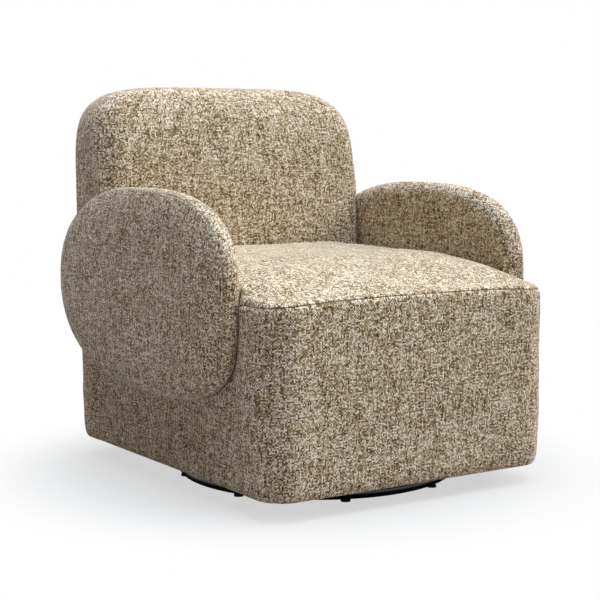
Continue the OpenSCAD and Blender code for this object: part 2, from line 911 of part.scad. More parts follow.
module side_cover() {
    sections = [for (at = side_path) side_section(at[1])];
    inner_sections = [for (s = sections) moved_line(s, -cover_t)];
    rows = len(sections[0]);
    color(cloth_colour) on_axis() skin(
        [for (i = [0:rows - 1]) [for (j = [0:len(side_path) - 1])
            cover_point(side_path[j], sections[j][i], side_in(side_path[j][1]))]],
        [for (i = [0:rows - 1]) [for (j = [0:len(side_path) - 1])
            cover_point(side_path[j], inner_sections[j][i], side_in(side_path[j][1]))]],
        all_cells(rows, len(side_path)));
}

module side_cover_left() {
    mirror([1, 0, 0]) side_cover();
}

module side_cover_right() {
    side_cover();
}

// The rear cover rises to the back between the arms and stops under them at the corners
function rear_top(at) = abs(at[0]) < body_clear_x
    ? back_foot_z - soft_gap
    : arm_underside(at[1], arm_clear);
function rear_in(at) =
    (side_recess + seam_inset) * pow(max(0, 1 - (at[1] - valley_y) / (rear_corner_r / 2)), 2);

module rear_cover() {
    sections = [for (at = rear_path) block_section(rear_top(at))];
    inner_sections = [for (s = sections) moved_line(s, -cover_t)];
    rows = len(sections[0]);
    color(cloth_colour) on_axis() skin(
        [for (i = [0:rows - 1]) [for (j = [0:len(rear_path) - 1])
            leaned(cover_point(rear_path[j], sections[j][i], rear_in(rear_path[j])), rear_path[j][3])]],
        [for (i = [0:rows - 1]) [for (j = [0:len(rear_path) - 1])
            leaned(cover_point(rear_path[j], inner_sections[j][i], rear_in(rear_path[j])),
                rear_path[j][3])]],
        all_cells(rows, len(rear_path)));
}

// Seat: a crowned top that is wide in front of the arms and narrower between them

seat_rise_power = 2.2;
seat_side_power = 9;
seat_front_shares = [0, 0.02, 0.08, 0.2, 0.4, 0.7, 1];
seat_rear_shares = [0, 0.1, 0.25, 0.45, 0.7, 1];
seat_across_shares = [-1, -0.96, -0.88, -0.72, -0.5, -0.25, 0, 0.25, 0.5, 0.72, 0.88, 0.96, 1];

// Half width of the block's outline at a place, drawn in
function outline_half(y, inset) =
    let (r = front_corner_r - inset, d = max(0, min(r, y - front_y - inset)))
    body_half - front_corner_r + sqrt(r * r - (r - d) * (r - d));

function seat_top(x, y) =
    let (
        run = min(1, max(0, (y - front_y - seam_inset) / seat_rise_run)),
        across = min(1, abs(x) / outline_half(max(y, front_y + seam_inset), seam_inset)))
    seam_height + (seat_height - seam_height)
        * (1 - pow(1 - run, seat_rise_power)) * (1 - pow(across, seat_side_power));

seat_step_y = front_y + arm_front_set - arm_clear;
seat_back_y = back_face(seat_height - cover_t) - soft_gap;

function seat_rows(inset) = concat(
    [for (s = seat_front_shares)
        let (y = front_y + inset + (seat_step_y - front_y - inset) * s) [y, outline_half(y, inset)]],
    [for (s = seat_rear_shares)
        [seat_step_y + soft_gap + (seat_back_y - seat_step_y - soft_gap) * s,
            body_clear_x - (inset - seam_inset)]]);

function seat_grid(inset, drop) = [for (row = seat_rows(inset)) [for (u = seat_across_shares)
    let (x = u * row[1]) [x, row[0], seat_top(x, row[0]) - drop]]];

// The seat's underside stays level and follows the lean of the back
function seat_floor(inset, z) = [for (row = seat_rows(inset)) [for (u = seat_across_shares)
    [u * row[1], min(row[0], back_face(z) - soft_gap), z]]];

module seat_cover() {
    top = seat_grid(seam_inset, 0);
    under = seat_grid(seam_inset, cover_t);
    color(cloth_colour) on_axis() skin(top, under, all_cells(len(top), len(top[0])));
}

module seat_foam() {
    inset = seam_inset + soft_step + foam_ease;
    top = seat_grid(inset, soft_step + foam_ease);
    under = seat_floor(inset, seat_foam_z);
    color(foam_colour) on_axis() skin(top, under, all_cells(len(top), len(top[0])));
}

// Back: a stack of rounded rings, drawn in at the ends where the arms press

back_outline_power = 4.6;
back_round_power = 2.8;
back_low_shares = [0, 0.35, 0.7];
back_dome_angles = [0, 16, 30, 44, 56, 67, 76, 82, 86];
back_face_shares = [-0.75, -0.4, 0, 0.4, 0.75];
back_end_shares = [0.33, 0.67];
back_arc_steps = 4;
press_low_share = 1.15;
press_high_share = 1.4;
back_limit_share = 0.9;
dome_reach_share = pow(sin(back_dome_angles[len(back_dome_angles) - 1]), 2 / back_outline_power);
top_reach_share = 0.99;

function back_heights(inset) = concat(
    [for (s = back_low_shares) back_foot_z + (dome_z - back_foot_z) * s],
    [for (a = back_dome_angles)
        dome_z + (back_dome_h - inset) * pow(sin(a), 2 / back_outline_power) / dome_reach_share]);

function back_half(z, inset) =
    let (t = dome_reach_share * max(0, z - dome_z) / (back_dome_h - inset))
    (body_half - inset) * pow(max(0, 1 - pow(t, back_outline_power)), 1 / back_outline_power);

function back_thin_share(z, inset) =
    let (t = top_reach_share * max(0, z - overall_height + back_top_round) / (back_top_round - inset))
    pow(1 - pow(min(top_reach_share, t), back_round_power), 1 / back_round_power);

// Half width that is left at an end of the back beside an arm
function pressed(x, y, z, inset) =
    let (
        out = min(1, max(0, (arm_fill(y, z) - press_low_share) / (press_high_share - press_low_share))),
        limit = body_clear_x - inset + (body_half - body_clear_x) * out)
    sign(x) * min(abs(x), limit);

function back_arc(cx, cy, rx, ry, from) = [for (k = [0:back_arc_steps])
    let (a = from + 90 * k / back_arc_steps) [cx + rx * cos(a), cy + ry * sin(a)]];

function back_outline(w, y0, y1, r, crown) =
    let (
        rx = min(r, back_limit_share * w),
        ry = min(r, (y1 - y0 - 2 * crown) / 2 * back_limit_share),
        hx = w - rx,
        f = y0 + crown + ry,
        b = y1 - crown - ry)
    concat(
        [for (s = back_face_shares) [s * hx, y0 + crown * s * s]],
        back_arc(hx, f, rx, ry, 270),
        [for (s = back_end_shares) [w, f + (b - f) * s]],
        back_arc(hx, b, rx, ry, 0),
        [for (s = back_face_shares) [-s * hx, y1 - crown * s * s]],
        back_arc(-hx, b, rx, ry, 90),
        [for (s = back_end_shares) [-w, b + (f - b) * s]],
        back_arc(-hx, f, rx, ry, 180));

function back_ring(z, inset) =
    let (
        middle = (back_face(z) + rear_line(z)) / 2,
        thin = back_thin_share(z, inset),
        half = ((rear_line(z) - back_face(z)) / 2 - inset) * thin)
    [for (p = back_outline(max(back_half(z, inset), back_corner_r / 2), middle - half,
            middle + half, back_corner_r - inset, back_crown * thin))
        [pressed(p[0], p[1], z, inset), p[1], z]];

function back_rings(inset) = [for (z = back_heights(inset)) back_ring(z, inset)];

// The outside cover fills the rear face up to a seam below the top
rear_seam_row = 7;
back_columns = len(back_outline(body_half, 0, body_half, back_corner_r, 0));
rear_first_column = len(back_face_shares) + back_arc_steps + 1 + len(back_end_shares) + back_arc_steps;
rear_last_column = rear_first_column + len(back_face_shares);

function is_outside(i, j) = i < rear_seam_row && j >= rear_first_column && j <= rear_last_column;
function back_cells(outside) = [for (i = [0:len(back_heights(0)) - 2])
    [for (j = [0:back_columns - 1]) is_outside(i, j) == outside]];

module back_inside_cover() {
    color(cloth_colour) on_axis()
        skin(back_rings(0), back_rings(cover_t), back_cells(false), wrap = true, lid = true);
}

module back_outside_cover() {
    color(cloth_colour) on_axis()
        skin(back_rings(0), back_rings(cover_t), back_cells(true), wrap = true);
}

module back_foam() {
    color(foam_colour) on_axis() difference() {
        stack(back_rings(soft_step));
        both_sides() along_x(frame_in - board_t - soft_gap, frame_in + soft_gap)
            polygon(leaning(back_foot_z - post_depth, post_top_z + soft_gap, -soft_gap,
                post_depth + soft_gap));
        for (z = [post_top_z - rail_height, mid_rail_z]) back_rail(z, soft_gap);
        back_straps(soft_gap);
    }
}

// Arms: from the middle of the outer panel, over the seam and the edge, to the inner face

arm_seam_inset = 6;
panel_inset_shares = [0.95, 0.62, 0.3, 0.12];
wrap_in_shares = [0.005, 0, 0.005, 0.03, 0.075, 0.15, 0.95];
wrap_x_shares = [0.67, 0.52, 0.36, 0.2, 0.08, 0.015, 0];

// Section of an arm as how far in from the outline, and how far out along X
arm_section = concat(
    [for (s = panel_inset_shares)
        [s * arm_height / 2, arm_outer_x - arm_panel_crown * pow(1 - s, 4)]],
    [[arm_seam_inset + touch_gap / 2, arm_outer_x - arm_panel_crown + touch_gap],
        [arm_seam_inset, arm_outer_x - arm_panel_crown - touch_gap]],
    [for (k = [0:len(wrap_in_shares) - 1])
        [wrap_in_shares[k] * arm_height / 2, arm_inner_x + arm_thick * wrap_x_shares[k]]]);
arm_seam_row = len(panel_inset_shares);

function arm_ring(s) = [for (k = [0:arm_columns - 1])
    let (p = oval(-360 * k / arm_columns, arm_length / 2 - s[0], arm_height / 2 - s[0]))
    [s[1], arm_y + p[0], arm_z + p[1]]];

// The section moved inwards: the two sides of the seam move together
function arm_inward(k) = k == arm_seam_row || k == arm_seam_row + 1
    ? line_normal([arm_section[arm_seam_row - 1], arm_section[arm_seam_row + 2]], 0)
    : line_normal(arm_section, k);
function arm_rings(first, last, depth) =
    [for (k = [first:last]) arm_ring(arm_section[k] + depth * arm_inward(k))];

module arm_panel() {
    outer = arm_rings(0, arm_seam_row, 0);
    inner = arm_rings(0, arm_seam_row, cover_t);
    color(cloth_colour) on_axis() cap_skin(outer, inner, false);
}

// A skin round a whole ring whose first or last ring is closed by a flat face
module cap_skin(outer, inner, at_last) {
    rows = len(outer);
    cols = len(outer[0]);
    n = rows * cols;
    cells = all_cells(rows, cols);
    if (at_last) {
        skin(outer, inner, cells, wrap = true, lid = true);
    } else {
        back_out = [for (i = [rows - 1:-1:0]) [for (j = [cols - 1:-1:0]) outer[i][j]]];
        back_in = [for (i = [rows - 1:-1:0]) [for (j = [cols - 1:-1:0]) inner[i][j]]];
        skin(back_out, back_in, cells, wrap = true, lid = true);
    }
}

module arm_wrap() {
    last = len(arm_section) - 1;
    color(cloth_colour) on_axis() difference() {
        cap_skin(arm_rings(arm_seam_row + 1, last, 0), arm_rings(arm_seam_row + 1, last, cover_t), true);
        arm_block(soft_gap);
    }
}

module arm_foam() {
    last = len(arm_section) - 1;
    color(foam_colour) on_axis() difference() {
        stack(arm_rings(0, last, soft_step));
        along_x(arm_board_x - soft_gap, arm_board_x + arm_board_t + soft_gap)
            arm_oval(arm_board_inset - soft_gap);
        arm_block(soft_gap);
    }
}

module arm_panel_left() {
    mirror([1, 0, 0]) arm_panel();
}

module arm_panel_right() {
    arm_panel();
}

module arm_wrap_left() {
    mirror([1, 0, 0]) arm_wrap();
}

module arm_wrap_right() {
    arm_wrap();
}

module arm_foam_left() {
    mirror([1, 0, 0]) arm_foam();
}

module arm_foam_right() {
    arm_foam();
}

// Pads on the block

module block_prism(inset, z0, z1) {
    translate([0, 0, z0]) linear_extrude(z1 - z0) polygon(concat(
        [for (at = front_path) [at[0] - at[2] * inset, at[1] - at[3] * inset]],
        [for (at = rear_path) [at[0] - at[2] * inset, at[1] - at[3] * inset]]));
}

// The pads step in at the foot, where the covers turn under
pad_bottom_z = floor_gap + bottom_round_h / 2;
foot_inset = bottom_tuck * tuck_in_shares[1] + soft_step;
foot_z = floor_gap + bottom_round_h * tuck_up_shares[1] + soft_step;

module block_solid() {
    block_prism(pad_inset, pad_bottom_z, pad_top_z);
    block_prism(foot_inset, foot_z, pad_bottom_z);
}

pad_side_x = body_half - side_recess - 2 * seam_inset - soft_step;

module front_pad() {
    color(foam_colour) on_axis() intersection() {
        block_solid();
        box(-body_half, body_half, front_y, front_board_y - soft_gap, floor_gap, seat_height);
    }
}

module corner_pad() {
    color(foam_colour) on_axis() intersection() {
        block_solid();
        box(frame_half + soft_gap, body_half, front_board_y, cover_end_y, floor_gap, seat_height);
    }
}

module corner_pad_left() {
    mirror([1, 0, 0]) corner_pad();
}

module corner_pad_right() {
    corner_pad();
}

module side_pad() {
    foot_x = body_half - side_recess - seam_inset - foot_inset;
    color(foam_colour) on_axis() {
        box(frame_half + soft_gap, pad_side_x, cover_end_y + soft_gap, rear_board_y,
            pad_bottom_z, arm_bottom_z - arm_clear - soft_step);
        box(frame_half + soft_gap, foot_x, cover_end_y + soft_gap, rear_board_y,
            foot_z, pad_bottom_z);
    }
}

module side_pad_left() {
    mirror([1, 0, 0]) side_pad();
}

module side_pad_right() {
    side_pad();
}

module rear_pad() {
    color(foam_colour) on_axis() intersection() {
        block_solid();
        union() {
            box(-body_half, body_half, rear_board_y + soft_gap, rear_y, floor_gap,
                arm_bottom_z - arm_clear);
            box(-body_clear_x + soft_step, body_clear_x - soft_step, rear_board_y + soft_gap, rear_y,
                floor_gap, seat_height);
        }
    }
}

floor_ring();
ring_glides();
base_spider();
king_pin();
king_nut();
lower_race();
bearing_balls();
ball_cage();
upper_race();
rocker_bracket();
rock_shaft();
shaft_clips();
spring_cups_lower();
stop_bumpers();
rocker_springs();
rocker_plate();
rocker_bushes();
spring_cups_upper();
plate_screws();
bearers();
side_board_left();
side_board_right();
front_board();
rear_board();
corner_blocks();
back_post_left();
back_post_right();
back_top_rail();
back_mid_rail();
back_webbing();
arm_board_left();
arm_board_right();
arm_bolts();
seat_springs();
spring_clips();
seat_deck();
dust_cover();
seat_foam();
back_foam();
front_pad();
corner_pad_left();
corner_pad_right();
side_pad_left();
side_pad_right();
rear_pad();
arm_foam_left();
arm_foam_right();
seat_cover();
front_cover();
side_cover_left();
side_cover_right();
rear_cover();
back_inside_cover();
back_outside_cover();
arm_panel_left();
arm_panel_right();
arm_wrap_left();
arm_wrap_right();
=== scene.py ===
"""Swivel rocker: upholstery, springs, finishes and studio, made over the part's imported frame.

Everything is in metres, +Z up, with the front of the seat towards -Y. The cover pieces are shells and
closed pads swept through rings of points, and each carries a UV map in metres for the cloth's weave.
"""

import math

import bpy
import numpy as np
from bpy.props import FloatProperty, FloatVectorProperty, IntProperty, PointerProperty
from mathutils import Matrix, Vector, noise


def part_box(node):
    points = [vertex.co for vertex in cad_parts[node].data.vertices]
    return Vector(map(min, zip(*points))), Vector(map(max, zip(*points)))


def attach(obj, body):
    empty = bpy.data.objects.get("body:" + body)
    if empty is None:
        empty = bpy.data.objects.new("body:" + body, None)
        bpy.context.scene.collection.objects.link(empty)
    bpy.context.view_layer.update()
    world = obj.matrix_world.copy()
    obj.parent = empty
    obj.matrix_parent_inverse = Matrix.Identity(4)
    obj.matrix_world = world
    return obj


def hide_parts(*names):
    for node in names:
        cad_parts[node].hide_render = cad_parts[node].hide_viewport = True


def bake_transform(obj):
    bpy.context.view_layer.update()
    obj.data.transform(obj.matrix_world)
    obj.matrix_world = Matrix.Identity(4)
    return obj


bl_info = {
    "name": "Swivel Rocker",
    "version": (1, 0, 0),
    "blender": (4, 5, 0),
    "location": "3D View > Sidebar > Rocker",
    "description": "Dresses the swivel rocker with its covers, pads, springs, finishes and studio",
    "category": "Object",
}

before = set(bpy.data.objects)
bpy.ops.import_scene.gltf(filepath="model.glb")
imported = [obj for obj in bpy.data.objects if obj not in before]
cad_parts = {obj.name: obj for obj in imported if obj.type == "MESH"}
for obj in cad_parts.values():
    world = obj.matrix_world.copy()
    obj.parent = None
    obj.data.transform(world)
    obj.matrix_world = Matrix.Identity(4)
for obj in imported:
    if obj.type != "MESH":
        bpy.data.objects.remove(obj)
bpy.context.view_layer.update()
MM = 0.001


def linear(hex_colour):
    """An sRGB hex colour as linear RGB."""
    parts = [int(hex_colour[k:k + 2], 16) / 255 for k in (1, 3, 5)]
    return tuple(c / 12.92 if c <= 0.04045 else ((c + 0.055) / 1.055) ** 2.4 for c in parts)


def length(name, description, default_mm, low_mm, high_mm):
    """A length property that is given in millimetres and kept in metres."""
    return FloatProperty(
        name=name, description=description, default=default_mm * MM,
        min=low_mm * MM, max=high_mm * MM, subtype="DISTANCE", unit="LENGTH")


def angle(name, description, degrees, low, high):
    """An angle property that is given in degrees and kept in radians."""
    return FloatProperty(
        name=name, description=description, default=math.radians(degrees), min=math.radians(low),
        max=math.radians(high), subtype="ANGLE", unit="ROTATION")


def number(name, description, default, low, high):
    """A property without a unit."""
    return FloatProperty(name=name, description=description, default=default, min=low, max=high)


def toned(rgb, share):
    """A linear colour made lighter or darker."""
    return [v * share for v in rgb]


def opaque(rgb):
    """A linear colour with full opacity."""
    return tuple(rgb) + (1,)


def colour(name, description, hex_colour):
    """A colour property with an sRGB hex default."""
    return FloatVectorProperty(
        name=name, description=description, default=linear(hex_colour),
        min=0, max=1, size=3, subtype="COLOR")


# Places that the pieces take from the frame
FRONT_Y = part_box("front_cover")[0].y
REAR_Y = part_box("back_outside_cover")[1].y
BODY_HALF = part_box("front_cover")[1].x
HEM_DROP = 3 * MM
BLOCK_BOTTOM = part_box("front_cover")[0].z - HEM_DROP
SEAT_TOP_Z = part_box("seat_cover")[1].z
BACK_FOOT_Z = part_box("back_inside_cover")[0].z
BACK_TOP_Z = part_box("back_inside_cover")[1].z
ARM_LOW, ARM_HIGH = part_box("arm_wrap_right")
ARM_OUTER_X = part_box("arm_panel_right")[1].x
ARM_Y = (ARM_LOW.y + ARM_HIGH.y) / 2
ARM_Z = (ARM_LOW.z + ARM_HIGH.z) / 2
ARM_HALF_Y = (ARM_HIGH.y - ARM_LOW.y) / 2
ARM_HALF_Z = (ARM_HIGH.z - ARM_LOW.z) / 2
SPRING_LOW, SPRING_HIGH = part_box("rocker_springs")
SWIVEL_Y = (SPRING_LOW.y + SPRING_HIGH.y) / 2

# About how far apart the points of the pads lie
MESH_STEP = 6.5 * MM


class RockerSizes(bpy.types.PropertyGroup):
    """Sizes of the upholstery."""

    front_corner: length("Front corner", "Plan radius of the block's front corners", 66, 50, 90)
    rear_corner: length("Rear corner", "Plan radius of the block's rear corners", 47, 35, 60)
    tuck: length("Tuck", "How far the cover turns under at the block's bottom", 17, 10, 24)
    tuck_height: length("Tuck height", "Height of the rounding at the block's bottom", 44, 30, 60)
    recess: length("Side recess", "How far the side under an arm lies in", 7, 2, 12)
    rear_lean: length("Rear lean", "How far the block's rear lies ahead of the back's", 44, 20, 60)
    seam_z: length("Seat seam", "Height of the seam round the front of the seat", 418, 405, 430)
    seat_run: length("Seat run", "Run over which the seat rises to its crown", 322, 250, 380)
    seat_depth: length("Seat depth", "From the block's front to the face of the back", 652, 630, 670)
    lean: angle("Lean", "Lean of the back's face", 9.2, 4, 14)
    back_corner: length("Back corner", "Radius of the back's upright edges", 56, 40, 80)
    back_crown: length("Back crown", "How far the back's faces are crowned", 10, 0, 20)
    back_swell: length("Back swell", "How far the middle of the back's face swells", 9, 0, 16)
    back_dome: length("Back dome", "Height over which the back's outline rounds", 250, 180, 300)
    back_roll: length("Back roll", "Height over which the back thins to its top", 150, 100, 200)
    arm_crown: length("Arm crown", "Crown of an arm's outer panel", 18, 6, 24)
    arm_seam: length("Arm seam", "How far an arm's seam lies inside its outline", 6, 3, 14)
    arm_round: length("Arm rounding", "Radius of an arm's inner edge", 36, 16, 50)
    seam_depth: length("Seam depth", "How deep the cover is pulled in at a seam", 3, 1, 6)
    cloth: length("Cover", "Thickness of the cover with its wadding", 3, 2, 4)
    gap: length("Gap", "Clearance between neighbouring soft pieces", 1, 0.5, 3)
    yarn: length("Yarn pitch", "Distance between neighbouring yarns", 3.0, 2, 8)
    coil_wire: length("Spring wire", "Diameter of a rocker spring's wire", 6, 4, 7)
    coil_turns: IntProperty(
        name="Spring turns", description="Turns of a rocker spring with its closed ends",
        default=5, min=4, max=7)


class RockerColours(bpy.types.PropertyGroup):
    """Colours of the finishes."""

    yarn_dark: colour("Dark yarn", "Darkest flecks of the cloth", "#4b3722")
    yarn_brown: colour("Brown yarn", "Brown threads of the cloth", "#8c7552")
    yarn_ground: colour("Ground yarn", "Main tone of the cloth", "#b9a17d")
    yarn_light: colour("Light yarn", "Light threads of the cloth", "#dac8a9")
    yarn_cream: colour("Cream yarn", "Cream slubs of the cloth", "#f9efdd")
    fibre_ends: colour("Fibre ends", "Pale loose fibre ends that give the sheen", "#fbf6f0")
    steel_paint: colour("Steel paint", "Gloss paint of the floor ring and the rocker", "#141415")
    zinc: colour("Zinc", "Zinc plating of wires and fastenings", "#b4b8bc")
    bright_steel: colour("Bright steel", "Ground steel of shaft, balls and races", "#c4c6c8")
    brass: colour("Brass", "Brass of cage and bushes", "#c9a553")
    rubber: colour("Rubber", "Rubber of glides and stops", "#262524")
    wood: colour("Wood", "Frame boards", "#c9a374")
    wood_dark: colour("Late wood", "Late wood of the boards' grain", "#9c7444")
    webbing: colour("Webbing", "Jute webbing of the back", "#a98d5f")
    felt: colour("Felt", "Felt deck over the seat springs", "#8d887e")
    dust_cloth: colour("Dust cloth", "Spun cloth under the seat", "#1d1d1f")
    floor: colour("Floor", "Studio floor, grey so that it throws little light back", "#a3a29f")


class RockerStudio(bpy.types.PropertyGroup):
    """Light and camera."""

    key: number("Key", "Strength of the light overhead", 5.0, 0, 10)
    key_size: angle("Key size", "Angular size of the light overhead", 50, 0, 180)
    key_tint: colour("Key tint", "Slightly cool colour of the light overhead", "#dceaff")
    side: number("Side light", "Strength of the light from the right", 2.0, 0, 10)
    side_size: angle("Side size", "Angular size of the light from the right", 35, 0, 180)
    side_tint: colour("Side tint", "Warm colour of the light from the right", "#fff8ee")
    fill: number("Fill", "Strength of the surrounding light", 0.15, 0, 2)
    fill_tint: colour("Fill tint", "Warm colour of the surrounding light", "#ffdeb8")
    floor_white: number("Floor white", "Share of plain white in the floor under the chair", 0.62, 0, 1)
    lens: number("Lens", "Focal length in millimetres on a 36 mm sensor", 88.2, 20, 200)
    camera_place: FloatVectorProperty(
        name="Camera", description="Place of the camera", default=(-1.79970, -2.71285, 0.72684),
        size=3, subtype="TRANSLATION", unit="LENGTH")
    camera_turn: FloatVectorProperty(
        name="Camera turn", description="Euler angles of the camera",
        default=(math.radians(83.76), 0, math.radians(-33.66)), size=3, subtype="EULER")


def sizes():
    """The upholstery's sizes."""
    return bpy.context.scene.rocker_sizes


def colours():
    """The finishes' colours."""
    return bpy.context.scene.rocker_colours


# Meshes

def new_piece(name, points, faces, uvs, material):
    """A smooth mesh object, with one UV pair for each corner of each face."""
    mesh = bpy.data.meshes.new(name)
    mesh.from_pydata([tuple(p) for p in points], [], faces)
    layer = mesh.uv_layers.new(name="cloth")
    layer.data.foreach_set("uv", np.asarray(uvs, np.float32).ravel())
    mesh.polygons.foreach_set("use_smooth", [True] * len(mesh.polygons))
    mesh.materials.append(material)
    mesh.validate()
    mesh.update()
    piece = bpy.data.objects.new(name, mesh)
    bpy.context.scene.collection.objects.link(piece)
    return piece


def sweep(name, rings, coords, material, join_ends=False, flip=False, top=None):
    """A closed surface through rings of points, closed by fans at its ends or joined end to end.

    rings is rows by columns by 3 and coords rows by columns + 1 by 2, so the cloth's coordinates may
    differ where a ring closes. top gives the first row whose cloth is laid flat, and its coordinates.
    """
    rows, cols = rings.shape[:2]
    top_row, top_coords = top or (rows, coords)
    points = list(rings.reshape(-1, 3))

    def corner(i, j, laid):
        """A corner's point and its place on the cloth."""
        return i * cols + j % cols, laid[i, j]

    made = []
    for i in range(rows if join_ends else rows - 1):
        n = (i + 1) % rows
        laid = top_coords if i >= top_row else coords
        for j in range(cols):
            made.append([corner(i, j, laid), corner(i, j + 1, laid), corner(n, j + 1, laid),
                         corner(n, j, laid)])
    ends = () if join_ends else ((0, -1), (rows - 1, 1))
    for row, way in ends:
        laid = top_coords if row >= top_row else coords
        middle = (len(points), laid[row, :cols].mean(0))
        points.append(rings[row].mean(0))
        for j in range(cols):
            made.append([corner(row, j, laid), corner(row, j + 1, laid)][::way] + [middle])
    if flip:
        made = [face[::-1] for face in made]
    faces = [[point for point, _ in face] for face in made]
    uvs = [place for face in made for _, place in face]
    return new_piece(name, points, faces, uvs, material)


def cloth_grid(around, along):
    """Cloth coordinates of rings, from the distances round them and along them."""
    return np.stack(np.meshgrid(around, along), axis=-1)


def closing(points, axis=0):
    """Points with the first ones again at the end."""
    return np.concatenate([points, np.take(points, [0], axis)], axis)


def wrapped(line, count):
    """A closed line with count more of its points at each end, taken from the other end."""
    return np.concatenate([line[-count:], line, line[:count]])


def normals_of(rings):
    """Unit normals at the points of rings that close round their columns."""
    across = np.roll(rings, -1, 1) - np.roll(rings, 1, 1)
    along = np.empty_like(rings)
    along[1:-1] = rings[2:] - rings[:-2]
    along[0] = rings[1] - rings[0]
    along[-1] = rings[-1] - rings[-2]
    n = np.cross(across, along)
    return n / np.maximum(np.linalg.norm(n, axis=-1, keepdims=True), 1e-12)


def smooth_min(a, b, width):
    """The lesser of a and b, with the change between them spread over a width."""
    h = np.clip(0.5 + 0.5 * (b - a) / width, 0, 1)
    return b + (a - b) * h - width * h * (1 - h)


def ramp(value, start, run):
    """0 up to start, then a straight rise to 1 over a run."""
    return np.clip((value - start) / run, 0, 1)


def ease(value, start, run):
    """0 up to start, then a rise with soft ends to 1 over a run."""
    t = ramp(value, start, run)
    return t ** 2 * (3 - 2 * t)


def bump(distance, half_width):
    """1 at distance 0, falling smoothly to 0 at half_width."""
    return (1 - ramp(np.abs(distance), 0, half_width) ** 2) ** 2


def rounding(t, power):
    """What a rounded edge with a power leaves at a share t of its run, from 1 down to 0."""
    return (1 - t ** power) ** (1 / power)


def distance_along(points):
    """Distance along a line of points, from its first one."""
    return np.concatenate([[0], np.cumsum(np.linalg.norm(np.diff(points, axis=0), axis=1))])


SEED_SHIFT = (3.1, 1.7, 5.3)


def unevenness(points, *waves):
    """Soft unevenness of stuffed cloth, with hollows about one wave apart.

    Each wave is its length, its seed and its share, and stays between -1 and 1 times its share.
    """
    total = np.zeros(points.shape[:-1])
    for wave, seed, share in waves:
        shift = Vector([seed * part for part in SEED_SHIFT])
        values = [noise.noise(Vector(p) / wave + shift) for p in points.reshape(-1, 3)]
        total += share * np.array(values).reshape(total.shape)
    return total


def spaced(profile, step):
    """Parameters that walk along a dense polyline in about equal steps."""
    run = distance_along(profile)
    count = max(2, int(round(run[-1] / step)) + 1)
    return np.interp(np.linspace(0, run[-1], count), run, np.arange(len(profile)))


# The arms' ovals, which press into the block, the seat and the back. The powers say how full they are.

ARM_UPPER_FRONT_POWER = 3.1
ARM_LOWER_FRONT_POWER = 3.5
ARM_REAR_POWER = 2.2
ARM_EDGE_POWER = 2.2
# Width of an arm's inner edge as a share of its radius
ARM_EDGE_SHARE = 0.9
# How far outside an oval places may lie, and how often the search for their depth halves
OVAL_REACH, HALVINGS = 0.6, 30
# How fast what an arm presses on may come out again outside its oval
CLEARING_SLOPE = 6


def arm_oval(angles, inset):
    """Places (y, z) on an arm's oval, drawn in by inset. It is fullest low down at its front end."""
    c, s = np.cos(angles), np.sin(angles)
    power = np.where(c < 0, np.where(s > 0, ARM_UPPER_FRONT_POWER, ARM_LOWER_FRONT_POWER), ARM_REAR_POWER)
    y = (ARM_HALF_Y - inset) * np.sign(c) * np.abs(c) ** (2 / power)
    z = (ARM_HALF_Z - inset) * np.sign(s) * np.abs(s) ** (2 / power)
    return ARM_Y + y, ARM_Z + z


def arm_depth(y, z):
    """How far inside an arm's oval a place lies. It is below zero outside the oval."""
    dy, dz = np.abs(y - ARM_Y), np.abs(z - ARM_Z)
    front = np.where(z > ARM_Z, ARM_UPPER_FRONT_POWER, ARM_LOWER_FRONT_POWER)
    power = np.where(y < ARM_Y, front, ARM_REAR_POWER)
    low = np.full(np.shape(dy), -OVAL_REACH)
    high = np.full(np.shape(dy), ARM_HALF_Z - 0.1 * MM)
    for _ in range(HALVINGS):
        s = (low + high) / 2
        over = (dy / (ARM_HALF_Y - s)) ** power + (dz / (ARM_HALF_Z - s)) ** power > 1
        high = np.where(over, s, high)
        low = np.where(over, low, s)
    return (low + high) / 2


def arm_inner_x(depth):
    """X of an arm's inner side at a depth inside its oval."""
    radius = sizes().arm_round
    t = 1 - ramp(depth, 0, radius)
    side = ARM_LOW.x + ARM_EDGE_SHARE * radius * (1 - rounding(t, ARM_EDGE_POWER))
    return side + CLEARING_SLOPE * np.maximum(0, -depth)


def pressed(points, soften):
    """Points drawn in where the arms press on them."""
    out = points.copy()
    limit = arm_inner_x(arm_depth(points[..., 1], points[..., 2])) - sizes().gap
    side = np.abs(points[..., 0])
    out[..., 0] = np.sign(points[..., 0]) * np.minimum(side, smooth_min(side, limit, soften))
    return out


# The soft edge at the front of the seat, shared with the block. The seam lies part of the way round it.

EDGE_RADIUS = 20 * MM
EDGE_SEAM_TURN = math.radians(35)
SEAM_GROOVE = 1.2 * MM
SEAM_MIDDLE_RISE = 5 * MM
SEAM_CORNER_FALL = 12 * MM
SEAM_RUN = 300 * MM
SEAT_RISE_POWER = 2.2
SEAT_SIDE_POWER = 9


def seam_at(x, y):
    """Height of the seat's seam, a little higher at the middle of the front than at its corners."""
    front = 1 - ramp(y, FRONT_Y, SEAM_RUN)
    across = ramp(np.abs(x), 0, BODY_HALF)
    return sizes().seam_z + front * (SEAM_MIDDLE_RISE - SEAM_CORNER_FALL * across ** 3)


# The back's lines, shared with the seat

BACK_OUTLINE_POWER = 5.0
BACK_ROLL_POWER = 3.3
BACK_SWELL_POWER = 0.8


def back_face(z):
    """Y of the back's face line at a height."""
    return FRONT_Y + sizes().seat_depth + math.tan(sizes().lean) * (z - SEAT_TOP_Z)


def rear_line(z):
    """Y of the chair's rear line at a height."""
    dome_z = BACK_TOP_Z - sizes().back_dome
    return REAR_Y - sizes().rear_lean * np.maximum(0, 1 - (z - BLOCK_BOTTOM) / (dome_z - BLOCK_BOTTOM))


def back_half(z):
    """Half the back's width at a height."""
    dome = sizes().back_dome
    return BODY_HALF * rounding(ramp(z, BACK_TOP_Z - dome, dome), BACK_OUTLINE_POWER)


